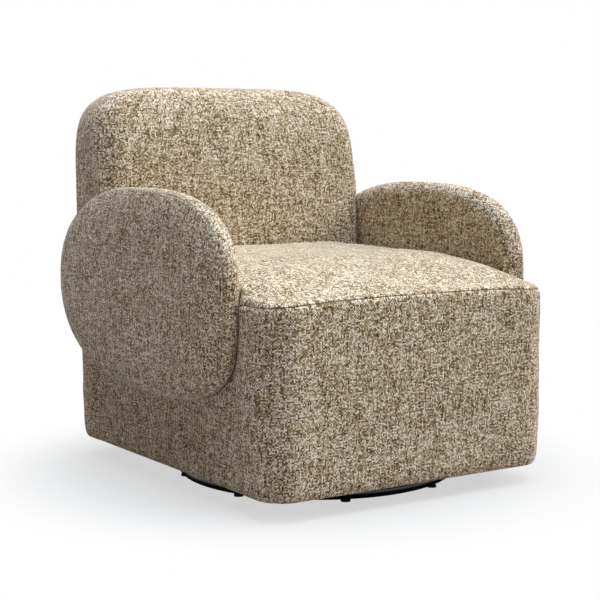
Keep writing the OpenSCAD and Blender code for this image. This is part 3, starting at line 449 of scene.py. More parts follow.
def back_share(z):
    """Share of the back's thickness that is left at a height."""
    roll = sizes().back_roll
    return rounding(ramp(z, BACK_TOP_Z - roll, roll), BACK_ROLL_POWER)


def back_sides(z):
    """Y of the back's face and rear at a height, with the swell of the face."""
    share = back_share(z)
    middle = (back_face(z) + rear_line(z)) / 2
    half = (rear_line(z) - back_face(z)) / 2 * share
    rise = ramp(z, SEAT_TOP_Z, BACK_TOP_Z - SEAT_TOP_Z)
    swell = sizes().back_swell * np.sin(math.pi * rise ** BACK_SWELL_POWER) * share
    return middle - half - swell, middle + half


def crown_share(s):
    """Set-back of a crowned face at a share of its half width, level at both ends."""
    return 1 - (1 - s * s) ** 2


# Half the width of a sewn groove, and where the points over it lie
SEAM_HALF = 2.4 * MM
SEAM_SHARES = (-1, -0.66, -0.33, 0, 0.33, 0.66, 1)


# Finishes

def feed(node, sources):
    """Links what feeds a node to its inputs. A source is a socket, or a node for its first output."""
    for key, source in sources.items():
        socket = source.outputs[0] if isinstance(source, bpy.types.Node) else source
        node.id_data.links.new(socket, node.inputs[key])


def add(tree, kind, settings=None, links=None):
    """Adds a shader node, sets its options and input values, and links what feeds its inputs.

    The setting "stops" holds the (place, linear colour) pairs of a colour ramp, in rising order.
    """
    node = tree.nodes.new("ShaderNode" + kind)
    values = dict(settings or {})
    for k, (place, value) in enumerate(values.pop("stops", ())):
        element = node.color_ramp.elements[k] if k < 2 else node.color_ramp.elements.new(place)
        element.position = place
        element.color = opaque(value)
    for key in [k for k in values if not (isinstance(k, int) or k in node.inputs)]:
        setattr(node, key, values.pop(key))
    for key, value in values.items():
        node.inputs[key].default_value = value
    feed(node, links or {})
    return node


def empty_tree(owner):
    """The node tree of a material or a world, without the nodes that it starts with."""
    owner.use_nodes = True
    owner.node_tree.nodes.clear()
    return owner.node_tree


def new_finish(name, shader_settings):
    """A material with a Principled shader whose constant inputs are set on its own sockets."""
    material = bpy.data.materials.get(name)
    if material:
        bpy.data.materials.remove(material)
    material = bpy.data.materials.new(name)
    tree = empty_tree(material)
    shader = add(tree, "BsdfPrincipled", shader_settings)
    add(tree, "OutputMaterial", links={"Surface": shader})
    return material, tree, shader


def slub_tweed():
    """Upholstery tweed, plain woven from slubbed wool-blend yarn.

    The crossing yarns give a grain of dark, tan and cream flecks with dark holes where four yarns
    meet, the slubs give short streaks along both yarns, and the fuzzy fibres give a dull surface with
    a soft pale sheen. The yarns lie about 3 mm apart, as in a heavy upholstery tweed.
    """
    c = colours()
    pitch = sizes().yarn
    wander_wave, wander_shift = 45 * MM, 6 * MM
    warp_slub, weft_slub = 34 * MM, 22 * MM
    fleck_share, warp_lift, tone_shift, fuzz_size = 0.62, 0.12, 0.15, 0.9 * MM
    hole_shade, fuzz_shade, shade_shift = 0.95, 0.35, 0.12
    fleck_rise, relief_depth = 0.2, 0.4 * MM
    material, tree, shader = new_finish("Slub tweed", {
        "Roughness": 0.92, "Specular IOR Level": 0.2, "Sheen Weight": 0.2,
        "Sheen Roughness": 0.4, "Sheen Tint": opaque(c.fibre_ends)})
    uv = add(tree, "UVMap", {"uv_map": "cloth"})
    wander = add(tree, "TexNoise", {"Scale": 1 / wander_wave, "Detail": 2.0}, {"Vector": uv})
    centred = add(tree, "VectorMath", {"operation": "SUBTRACT", 1: (0.5, 0.5, 0.5)},
                  {0: wander.outputs["Color"]})
    moved = add(tree, "VectorMath", {"operation": "MULTIPLY_ADD", 1: (wander_shift, wander_shift, 0)},
                {0: centred, 2: uv})
    yarns = add(tree, "VectorMath", {"operation": "MULTIPLY", 1: (1 / pitch, 1 / pitch, 0)},
                {0: moved})
    cell = add(tree, "VectorMath", {"operation": "FLOOR"}, {0: yarns})
    fleck = add(tree, "TexWhiteNoise", {"noise_dimensions": "2D"}, {"Vector": cell})
    place = add(tree, "SeparateXYZ", links={0: yarns})
    crossing = add(tree, "SeparateXYZ", links={0: cell})

    def slubs(along, across, run):
        """A tone that holds over a run of one yarn and starts at a place of its own on each yarn."""
        start = add(tree, "TexWhiteNoise", {"noise_dimensions": "1D"}, {"W": across})
        step = add(tree, "Math", {"operation": "MULTIPLY_ADD", 1: pitch / run}, {0: along, 2: start})
        whole = add(tree, "Math", {"operation": "FLOOR"}, {0: step})
        key = add(tree, "CombineXYZ", links={"X": across, "Y": whole})
        return add(tree, "TexWhiteNoise", {"noise_dimensions": "2D"}, {"Vector": key})

    warp = slubs(place.outputs["Y"], crossing.outputs["X"], warp_slub)
    weft = slubs(place.outputs["X"], crossing.outputs["Y"], weft_slub)
    both = add(tree, "Math", {"operation": "ADD"},
               {0: crossing.outputs["X"], 1: crossing.outputs["Y"]})
    over = add(tree, "Math", {"operation": "PINGPONG", 1: 1.0}, {0: both})
    yarn_tone = add(tree, "Mix", {"data_type": "FLOAT"}, {0: over, 2: weft, 3: warp})
    mixed_tone = add(tree, "Mix", {"data_type": "FLOAT", 0: fleck_share}, {2: yarn_tone, 3: fleck})
    tone = add(tree, "Math", {"operation": "MULTIPLY_ADD", 1: warp_lift},
               {0: over, 2: mixed_tone})

    # Clumps of like yarns, and a slow drift over the whole cloth
    for size, detail, rough, share in ((7 * MM, 2.0, 0.7, 0.06), (110 * MM, 1.0, 0.5, 0.12)):
        blots = add(tree, "TexNoise", {"Scale": 1 / size, "Detail": detail, "Roughness": rough},
                    {"Vector": uv})
        tone = add(tree, "Math", {"operation": "MULTIPLY_ADD", 1: share}, {0: blots, 2: tone})
    level = add(tree, "Math", {"operation": "SUBTRACT", 1: tone_shift}, {0: tone})
    yarn_colour = add(tree, "ValToRGB", {"stops": [
        (0.16, c.yarn_dark), (0.34, c.yarn_brown), (0.5, c.yarn_ground), (0.66, c.yarn_light),
        (0.82, c.yarn_cream)]}, {"Fac": level})

    gaps = []
    for axis in ("X", "Y"):
        turn = add(tree, "Math", {"operation": "MULTIPLY", 1: math.pi}, {0: place.outputs[axis]})
        sine = add(tree, "Math", {"operation": "SINE"}, {0: turn})
        wave = add(tree, "Math", {"operation": "ABSOLUTE"}, {0: sine})
        gaps.append(add(tree, "Math", {"operation": "SUBTRACT", 0: 1.0}, {1: wave}))
    hole = add(tree, "Math", {"operation": "MULTIPLY"}, {0: gaps[0], 1: gaps[1]})
    yarn_top = add(tree, "Math", {"operation": "SUBTRACT", 0: 1.0}, {1: hole})
    fuzz = add(tree, "TexNoise", {"Scale": 1 / fuzz_size, "Detail": 2.0}, {"Vector": uv})
    fuzzy = add(tree, "Math", {"operation": "MULTIPLY", 1: fuzz_shade}, {0: fuzz})
    shaded = add(tree, "Math", {"operation": "MULTIPLY_ADD", 1: hole_shade},
                 {0: yarn_top, 2: fuzzy})
    gap_shade = add(tree, "Math", {"operation": "SUBTRACT", 1: shade_shift}, {0: shaded})
    base = add(tree, "VectorMath", {"operation": "SCALE"},
               {0: yarn_colour, "Scale": gap_shade})
    height = add(tree, "Math", {"operation": "MULTIPLY_ADD", 1: fleck_rise},
                 {0: fleck, 2: yarn_top})
    relief = add(tree, "Bump", {"Strength": 0.6, "Distance": relief_depth}, {"Height": height})
    feed(shader, {"Base Color": base, "Normal": relief})
    return material


def patterned(name, settings, kind, pattern, stops=(), dull=None, relief=None, output=0):
    """A finish in which one pattern varies what is given: the colour, the dullness and the relief.

    kind and pattern are the pattern's node and its settings, output the one of its outputs that is
    used. dull holds the lowest and the highest roughness, relief its strength and its depth.
    """
    material, tree, shader = new_finish(name, settings)
    where = add(tree, "TexCoord")
    given = add(tree, kind, pattern, {"Vector": where.outputs["Object"]}).outputs[output]
    if stops:
        feed(shader, {"Base Color": add(tree, "ValToRGB", {"stops": stops}, {"Fac": given})})
    if dull:
        low, high = dull
        feed(shader, {"Roughness": add(tree, "MapRange", {"To Min": low, "To Max": high}, {"Value": given})})
    if relief:
        strength, depth = relief
        feed(shader, {"Normal": add(tree, "Bump", {"Strength": strength, "Distance": depth},
                                    {"Height": given})})
    return material


def gloss_painted_steel():
    """Mild steel tube and plate with stoved gloss paint.

    The paint gives a deep black with sharp highlights that soften where it has run and set unevenly.
    """
    paint = colours().steel_paint
    return patterned(
        "Gloss painted steel", {"Metallic": 0.0, "IOR": 1.5, "Coat Weight": 0.5, "Coat Roughness": 0.08},
        "TexNoise", {"Scale": 1 / (18 * MM), "Detail": 3.0},
        stops=[(0.3, paint), (0.8, toned(paint, 1.8))], dull=(0.2, 0.38), relief=(0.12, 0.3 * MM))


def zinc_plated_steel():
    """Steel wire and fastenings with bright zinc plating, whose spangle varies tone and dullness."""
    c = colours()
    material, tree, shader = new_finish("Zinc plated steel", {"Metallic": 1.0})
    where = add(tree, "TexCoord")
    spangle = add(tree, "TexVoronoi", {"Scale": 1 / (4 * MM)}, {"Vector": where.outputs["Object"]})
    tone = add(tree, "SeparateColor", links={0: spangle.outputs["Color"]})
    shade = add(tree, "ValToRGB", {"stops": [(0.0, toned(c.zinc, 0.7)), (1.0, c.zinc)]},
                {"Fac": tone.outputs[0]})
    dull = add(tree, "MapRange", {"To Min": 0.28, "To Max": 0.5}, {"Value": tone.outputs[1]})
    feed(shader, {"Base Color": shade, "Roughness": dull})
    return material


def ground_steel():
    """Turned and ground bearing steel: bright, with soft lines about 5 mm apart round the axis."""
    return patterned(
        "Ground bearing steel", {"Metallic": 1.0, "Base Color": opaque(colours().bright_steel)},
        "TexWave", {"wave_type": "RINGS", "rings_direction": "Z", "Scale": 1 / (20 * 0.8 * MM),
                    "Distortion": 0.6, "Detail": 2.0},
        dull=(0.16, 0.3), relief=(0.15, 0.05 * MM))


def turned_brass():
    """Turned brass of the cage and the bushes, slightly darkened by oil in its tool marks."""
    brass = colours().brass
    return patterned(
        "Turned brass", {"Metallic": 1.0, "Roughness": 0.32},
        "TexNoise", {"Scale": 1 / (3 * MM), "Detail": 3.0},
        stops=[(0.3, toned(brass, 0.65)), (0.7, brass)])


def moulded_rubber():
    """Moulded black rubber of glides and stops: matt, with a fine stippled skin."""
    rubber = colours().rubber
    return patterned(
        "Moulded rubber", {"Specular IOR Level": 0.4},
        "TexNoise", {"Scale": 1 / (1.5 * MM), "Detail": 2.0},
        stops=[(0.3, rubber), (0.8, toned(rubber, 1.7))], dull=(0.6, 0.8), relief=(0.3, 0.2 * MM))


def sawn_beech(axis):
    """Sawn beech boards: long grain lines about 5 mm apart along the board, short dark rays."""
    c = colours()
    material, tree, shader = new_finish("Sawn beech along " + axis, {"Roughness": 0.62})
    where = add(tree, "TexCoord")
    fine, coarse = 1 / (5 * MM), 1 / (160 * MM)
    scale = tuple(coarse if a == axis else fine for a in "XYZ")
    stretched = add(tree, "VectorMath", {"operation": "MULTIPLY", 1: scale},
                    {0: where.outputs["Object"]})
    grain = add(tree, "TexNoise", {"Scale": 1.0, "Detail": 4.0, "Distortion": 0.4},
                {"Vector": stretched})
    rays = add(tree, "TexNoise", {"Scale": 6.0, "Detail": 1.0}, {"Vector": stretched})
    mixed = add(tree, "Math", {"operation": "MULTIPLY_ADD", 1: 0.25}, {0: rays, 2: grain})
    shade = add(tree, "ValToRGB", {"stops": [(0.42, c.wood_dark), (0.72, c.wood)]},
                {"Fac": mixed})
    relief = add(tree, "Bump", {"Strength": 0.25, "Distance": 0.3 * MM}, {"Height": mixed})
    feed(shader, {"Base Color": shade, "Normal": relief})
    return material


def jute_webbing():
    """Jute webbing in a 3 mm plain weave: coarse, dull and strawy."""
    c = colours()
    material, tree, shader = new_finish("Jute webbing", {"Roughness": 0.95})
    where = add(tree, "TexCoord")
    split = add(tree, "SeparateXYZ", links={0: where.outputs["Object"]})
    turn = add(tree, "CombineXYZ", links={"X": split.outputs["X"], "Y": split.outputs["Z"]})
    weave = add(tree, "TexBrick", {
        "Scale": 1 / (6 * MM), "Mortar Size": 0.08, "Brick Width": 0.5, "Row Height": 0.5,
        "Color1": opaque(c.webbing), "Color2": opaque(toned(c.webbing, 0.75)),
        "Mortar": opaque(toned(c.webbing, 0.35))}, {"Vector": turn})
    relief = add(tree, "Bump", {"Strength": 0.5, "Distance": 0.8 * MM, "invert": True},
                 {"Height": weave.outputs["Fac"]})
    feed(shader, {"Base Color": weave.outputs["Color"], "Normal": relief})
    return material


def pressed_felt():
    """Pressed grey felt of the seat's deck: matted fibres with flecks of lighter and darker wool."""
    felt = colours().felt
    return patterned(
        "Pressed felt", {"Roughness": 0.97, "Sheen Weight": 0.2},
        "TexNoise", {"Scale": 1 / (2.5 * MM), "Detail": 5.0, "Roughness": 0.75},
        stops=[(0.3, toned(felt, 0.55)), (0.7, felt)], relief=(0.4, 0.6 * MM))


def spun_dust_cloth():
    """Spun-bonded black dust cloth with its rows of small pressed dots, 3 mm apart."""
    cloth = colours().dust_cloth
    return patterned(
        "Spun dust cloth", {"Roughness": 0.85, "Sheen Weight": 0.15},
        "TexVoronoi", {"Scale": 1 / (3 * MM), "Randomness": 0.15}, output="Distance",
        stops=[(0.15, toned(cloth, 0.5)), (0.4, cloth)], relief=(0.4, 0.3 * MM))


def shared(name, make):
    """A finish that several pieces share, made once."""
    return bpy.data.materials.get(name) or make()


def dress(piece, fill, *nodes):
    """Attaches a stuffed piece to the chair, so that it rides on it, and hides the CAD nodes that it stands
    for.
    """
    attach(piece, "chair")
    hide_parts(*nodes)


def finish_nodes(material, *nodes):
    """Puts a finish on CAD nodes."""
    for node in nodes:
        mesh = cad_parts[node].data
        if mesh.materials:
            for k in range(len(mesh.materials)):
                mesh.materials[k] = material
        else:
            mesh.materials.append(material)


# Pieces

# The block's cover. Lists hold mm: how far in, and how high over the bottom or over the seam.
# STRAIGHT stands in for the radius where the outline is straight.
STRAIGHT = 1.0
UNDER_EDGE = ((45, 14.5), (39, 10.8), (33, 7.2), (28, 4), (23.5, 1.5), (20, 0.4))
SEAM_TURN_IN = ((4.4, -1.0), (5.4, -1.1), (7.0, -1.6))
TUCK_ACROSS_POWER, TUCK_UP_POWER = 0.62, 0.9
STRAIGHT_END = 22 * MM
FOOT_CLIMB_START, FOOT_CLIMB_RUN = 100 * MM, 200 * MM
RECESS_START, RECESS_RUN = 30 * MM, 52 * MM
RECESS_AT_HEM, HEM_RUN = 0.35, 60 * MM
VALLEY_DEPTH, VALLEY_HALF = 2.6 * MM, 15 * MM
COLUMN_SHARE, COLUMN_RUN = 0.75, 22 * MM
BLOCK_SWELL, SIDE_SWELL_LOSS = 3.2 * MM, 0.6
BLOCK_UNEVEN, SIDE_UNEVEN_GAIN = 1.5 * MM, 0.9


def block_outline():
    """Places round the seat block, each with its outward direction and its corner's radius."""
    s = sizes()
    rear = REAR_Y - s.rear_lean
    corner_step = 0.6 * MESH_STEP
    corners = (
        (BODY_HALF - s.front_corner, FRONT_Y + s.front_corner, s.front_corner, -90),
        (BODY_HALF - s.rear_corner, rear - s.rear_corner, s.rear_corner, 0),
        (-BODY_HALF + s.rear_corner, rear - s.rear_corner, s.rear_corner, 90),
        (-BODY_HALF + s.front_corner, FRONT_Y + s.front_corner, s.front_corner, 180))
    places = []
    for k, (cx, cy, r, start) in enumerate(corners):
        count = int(math.ceil(math.radians(90) * r / corner_step))
        for i in range(count + 1):
            a = math.radians(start + 90 * i / count)
            places.append((cx + r * math.cos(a), cy + r * math.sin(a), math.cos(a), math.sin(a), r))
        nx, ny, nr, nstart = corners[(k + 1) % 4]
        a = math.radians(nstart)
        end = (nx + nr * math.cos(a), ny + nr * math.sin(a))
        x, y, dx, dy, _ = places[-1]
        count = int(math.ceil(math.hypot(end[0] - x, end[1] - y) / MESH_STEP))
        for t in (i / count for i in range(1, count)):
            places.append((x + (end[0] - x) * t, y + (end[1] - y) * t, dx, dy, STRAIGHT))
    return np.array(places)


def block_section(top_z):
    """The block cover from its edge under the boards, round the bottom and up to the seat's seam.

    Each point is how far in it lies and its height.
    """
    s = sizes()
    points = [(a * MM, BLOCK_BOTTOM + b * MM) for a, b in UNDER_EDGE]
    for a in np.radians(np.linspace(0, 90, 15)):
        points.append(((1 - math.sin(a) ** TUCK_ACROSS_POWER) * s.tuck,
                       BLOCK_BOTTOM + (1 - math.cos(a) ** TUCK_UP_POWER) * s.tuck_height))
    low, high = BLOCK_BOTTOM + s.tuck_height, top_z - STRAIGHT_END
    points += [(0.0, z) for z in np.linspace(low, high, 42)[1:]]
    for turn in np.linspace(0, EDGE_SEAM_TURN, 8):
        points.append((EDGE_RADIUS * (1 - math.cos(turn)), top_z - SEAM_GROOVE
                       - EDGE_RADIUS * (math.sin(EDGE_SEAM_TURN) - math.sin(turn))))
    return points + [(a * MM, top_z + b * MM) for a, b in SEAM_TURN_IN]


def build_block():
    """One cover round the block: crowned front, soft corners and sides that tuck in under the arms."""
    s = sizes()
    outline = block_outline()
    x, y, nx, ny, radius = outline.T
    sideways = np.abs(nx)
    rear_y = REAR_Y - s.rear_lean
    seam = seam_at(x, y)
    top = seam + (BACK_FOOT_Z - seam) * ease(y, FOOT_CLIMB_START, FOOT_CLIMB_RUN)
    # The sides lie in behind the front corners. A valley parts them from the full rear corners.
    recess = s.recess * sideways ** 3 * ease(y, FRONT_Y + s.front_corner + RECESS_START, RECESS_RUN)
    recess *= 1 - COLUMN_SHARE * ease(y, rear_y - 2.2 * s.rear_corner, COLUMN_RUN)
    valley = VALLEY_DEPTH * sideways ** 3 * bump(y - (rear_y - 2 * s.rear_corner), VALLEY_HALF)
    sections = np.array([block_section(t) for t in top])
    inset, height = sections[..., 0].T, sections[..., 1].T
    inset = np.minimum(inset, np.where(radius < STRAIGHT, radius - 2 * MM, STRAIGHT))
    low_z, high_z = BLOCK_BOTTOM + s.tuck_height, s.seam_z
    rise = ramp(height, low_z, high_z - low_z)
    swell = BLOCK_SWELL * np.sin(math.pi * rise) * (1 - SIDE_SWELL_LOSS * sideways)
    over_hem = ramp(height, BLOCK_BOTTOM, HEM_RUN)
    off = swell - inset - (recess + valley) * (RECESS_AT_HEM + (1 - RECESS_AT_HEM) * over_hem)
    rings = np.stack([x + nx * off, y + ny * off, height], axis=-1)
    rings[..., 1] += np.clip(ny, 0, 1) ** 1.5 * (rear_line(height) - rear_y)
    calm = ramp(high_z - height, 0, 30 * MM) * ramp(height, BLOCK_BOTTOM, 30 * MM)
    amount = BLOCK_UNEVEN * (1 + SIDE_UNEVEN_GAIN * sideways)
    out = unevenness(rings, (0.13, 1, 1), (0.055, 2, 0.5)) * calm * amount
    rings[..., 0] += nx * out
    rings[..., 1] += ny * out
    rings = pressed(rings, soften=9 * MM)
    inner = rings - normals_of(rings) * s.cloth
    inner[0] = rings[0] + (0, 0, 0.8 * s.cloth)
    around = distance_along(closing(outline[:, :2]))
    front_middle = int(np.argmin(np.where(y > 0, np.inf, np.abs(x))))
    down = distance_along(rings[:, front_middle])
    coords = cloth_grid(around - around[front_middle], np.concatenate([down, down[::-1]]))
    piece = sweep("block_cover", np.concatenate([rings, inner[::-1]]), coords,
                  shared("Slub tweed", slub_tweed), join_ends=True)
    dress(piece, 0.9, "front_cover", "side_cover_left", "side_cover_right", "rear_cover", "front_pad",
          "corner_pad_left", "corner_pad_right", "side_pad_left", "side_pad_right", "rear_pad")
    return piece


def seat_height(x, y):
    """Height of the crowned seat at a place."""
    s = sizes()
    r = s.front_corner
    d = np.clip(y - FRONT_Y, 0, r)
    half = BODY_HALF - r + np.sqrt(np.maximum(0, r * r - (r - d) ** 2))
    along, across = ramp(y, FRONT_Y + 2 * MM, s.seat_run), ramp(np.abs(x), 0, half)
    seam = seam_at(x, y)
    rise = (1 - (1 - along) ** SEAT_RISE_POWER) * (1 - across ** SEAT_SIDE_POWER)
    return seam + (SEAT_TOP_Z - seam) * rise


def back_front(x, z):
    """Y of the back's face at a place, with its crown and its rounded edges."""
    s = sizes()
    hx = BODY_HALF - s.back_corner
    share, arc = ramp(np.abs(x), 0, hx), ramp(np.abs(x), hx, s.back_corner)
    return (back_sides(z)[0] + s.back_crown * crown_share(share)
            + s.back_corner * (1 - np.sqrt(1 - arc * arc)))


def seat_edge():
    """Places round the seat, from its middle front to the right, along the back and round again."""
    s = sizes()
    half_front = BODY_HALF - s.front_corner
    right = [(t, FRONT_Y) for t in np.linspace(0, half_front, 44)[:-1]]
    for a in np.radians(np.linspace(-90, 0, 24)):
        right.append((half_front + s.front_corner * math.cos(a),
                      FRONT_Y + s.front_corner * (1 + math.sin(a))))
    corner_y = right[-1][1]
    back_y = float(back_front(np.array(ARM_LOW.x), SEAT_TOP_Z - 45 * MM))
    count = int((back_y - corner_y) / (6 * MM))
    right += [(BODY_HALF, t) for t in np.linspace(corner_y, back_y, count)[1:]]
    bent = pressed(np.column_stack([right, np.full(len(right), s.seam_z + 8 * MM)]), soften=7 * MM)
    across = np.linspace(bent[-1, 0], 0, 56)[1:]
    rear_z = seat_height(across, np.full(across.shape, 0.1)) - 10 * MM
    rear = np.column_stack([across, back_front(across, rear_z) - s.gap])
    line = np.concatenate([bent[:, :2], rear])
    return np.concatenate([line, line[1:-1][::-1] * (-1, 1)])


# The seat. Lists hold mm: how far in from its edge, and how high over the deck or over the seam.
# The seam's list ends with the share of the rise towards the back.
SEAT_CENTRE_RUN = 340 * MM
SEAT_FOOT = ((30, 2), (22, 2), (17, 5), (15, 12))
SEAT_SEAM = ((9, -0.9, 0.35), (5, -0.8, 0.55), (2.6, -0.6, 0.75), (1.2, -0.3, 0.86), (0.4, 0.1, 0.94),
             (0, 0.7, 1.0))
SEAT_EDGE_RINGS = (3, 6, 9.5, 13.5, 18, 23, 28.5, 34.5, 41, 48)
# The rings' distances from the edge, as if the middle lay this far from it everywhere, in mm
SEAT_SPAN = 400
LIP_START, LIP_RISE, LIP_RUN, LIP_FADE = 0.7 * MM, 2.4 * MM, 10 * MM, 30 * MM
REAR_ROLL, REAR_ROLL_RUN = 15 * MM, 20 * MM
SEAT_UNEVEN = 1.8 * MM
SEAT_CLOTH_AT, SEAT_CLOTH_STRETCH = (3.0, -1.0), 1.02


def build_seat():
    """The tight seat: a crowned closed pad that rolls down to its front seam, the arms and the back."""
    s = sizes()
    edge = seat_edge()
    centre = np.array([0, FRONT_Y + SEAT_CENTRE_RUN])
    d = np.gradient(wrapped(edge, 2), axis=0)[2:-2]
    n = np.column_stack([d[:, 1], -d[:, 0]])
    n /= np.linalg.norm(n, axis=1, keepdims=True)
    at_rear = edge[:, 1] > back_front(edge[:, 0], SEAT_TOP_Z - 10 * MM) - 8 * MM
    rear_share = np.convolve(wrapped(at_rear, 3), np.ones(7) / 7, "valid")

    def surface(xy):
        """The seat's top at some places, rolled down where it meets the back."""
        z = seat_height(xy[:, 0], xy[:, 1])
        near = 1 - ramp(back_front(xy[:, 0], z) - xy[:, 1], 0, REAR_ROLL_RUN)
        return np.column_stack([xy, z - REAR_ROLL * near ** 2])

    deck_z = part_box("seat_deck")[1].z
    rings = [np.column_stack([edge - n * inset * MM, np.full(len(edge), deck_z + up * MM)])
             for inset, up in SEAT_FOOT]
    base = edge - n * EDGE_RADIUS * (1 - math.cos(EDGE_SEAM_TURN))
    seam = seam_at(edge[:, 0], edge[:, 1])
    rise = np.maximum(surface(base)[:, 2] - seam - LIP_START, 0) * rear_share
    for past, up, share in SEAT_SEAM:
        rings.append(np.column_stack([base - n * past * MM, seam + up * MM + rise * share]))
    for out in np.concatenate([SEAT_EDGE_RINGS, np.linspace(56, 392, 48)]):
        xy = centre + (base - centre) * (1 - out / SEAT_SPAN)
        ring = surface(xy)
        rounded = 1 - (1 - ramp(out * MM, 0, LIP_RUN)) ** 2
        lip = (LIP_START + LIP_RISE * rounded) * (1 - ramp(out * MM, LIP_RUN, LIP_FADE)) ** 2
        ring[:, 2] = np.maximum(ring[:, 2], seam_at(xy[:, 0], xy[:, 1]) - 1 * MM) + lip
        rings.append(ring)
    rings = np.array(rings)
    uneven = unevenness(rings, (0.15, 5, 1), (0.06, 6, 0.4))
    rings[..., 2] += SEAT_UNEVEN * uneven * ramp(rings[..., 2], s.seam_z, 25 * MM)
    coords = closing(rings, 1)[..., :2] * (1, SEAT_CLOTH_STRETCH) + SEAT_CLOTH_AT
    piece = sweep("seat_top", rings, coords, shared("Slub tweed", slub_tweed))
    dress(piece, 0.8, "seat_cover", "seat_foam")
    return piece


# The back. Its rear panel's seam lies at a share of the half width and at a drop from the top.
BACK_SEAM_SHARE = 0.93
BACK_SEAM_DROP = 62 * MM
BACK_SEAM_PUFF, BACK_PUFF_HALF = 1.6 * MM, 26 * MM
BACK_THICKNESS = 110 * MM
BACK_TIP = 40 * MM
BACK_OUTLINE_WEIGHT = 0.6
BACK_EDGE_LEFT, BACK_LEAST_HALF = 0.35, 30 * MM
BACK_UNEVEN = 1.9 * MM
BACK_CLOTH_X = 7.0
# The column beside the face's middle, where the cloth starts
FACE_MIDDLE = 36
# The upward part of the normal above which the cloth lies flat over the top
BACK_TOP_TURN = 0.7


def back_levels():
    """Heights of the back's rings, close together where its outline turns."""
    dense = np.concatenate([
        np.linspace(BACK_FOOT_Z, BACK_TOP_Z - BACK_TIP, 400)[:-1],
        BACK_TOP_Z - BACK_TIP * (1 - np.sin(np.linspace(0, math.pi / 2, 600)) ** 0.9)])
    dense[-1] = BACK_TOP_Z - 0.02 * MM
    profile = np.column_stack([
        dense, BACK_OUTLINE_WEIGHT * back_half(dense), back_share(dense) * BACK_THICKNESS])
    return np.interp(spaced(profile, MESH_STEP), np.arange(len(dense)), dense)


def back_ring(z):
    """One ring round the back: face, edge, rear and edge again.

    With it come the first of its rear points and their shares of the half width.
    """
    s = sizes()
    w = max(float(back_half(z)), BACK_LEAST_HALF)
    y0, y1 = (float(v) for v in back_sides(z))
    share = float(back_share(z))
    crown = s.back_crown * share
    radius = s.back_corner * (BACK_EDGE_LEFT + (1 - BACK_EDGE_LEFT) * share)
    rx = min(radius, 0.9 * w)
    ry = min(radius, max(0.2 * MM, ((y1 - y0) / 2 - crown) * 0.98))
    hx = w - rx
    f, b = y0 + crown + ry, y1 - crown - ry
    arc = np.radians(np.linspace(0, 90, 17))
    side = np.linspace(0, 1, 11)[1:-1]
    face = np.linspace(-1, 1, 73)[1:-1]
    step = SEAM_HALF / (BODY_HALF - s.back_corner)
    near = BACK_SEAM_SHARE + np.array(SEAM_SHARES) * step
    edge = np.linspace(near[-1] + step, 0.995, 2)
    rear = np.concatenate([
        -edge[::-1], -near[::-1], np.linspace(-near[0] + step, near[0] - step, 61), near, edge])
    points = [(t * hx, y0 + crown * crown_share(t)) for t in face]
    points += [(hx + rx * math.sin(a), f - ry * math.cos(a)) for a in arc]
    points += [(w, f + (b - f) * t) for t in side]
    points += [(hx + rx * math.cos(a), b + ry * math.sin(a)) for a in arc]
    first = len(points)
    points += [(-t * hx, y1 - crown * crown_share(t)) for t in rear]
    points += [(-hx - rx * math.sin(a), b + ry * math.cos(a)) for a in arc]
    points += [(-w, b + (f - b) * t) for t in side]
    points += [(-hx - rx * math.cos(a), f - ry * math.sin(a)) for a in arc]
    return np.column_stack([points, np.full(len(points), z)]), first, rear


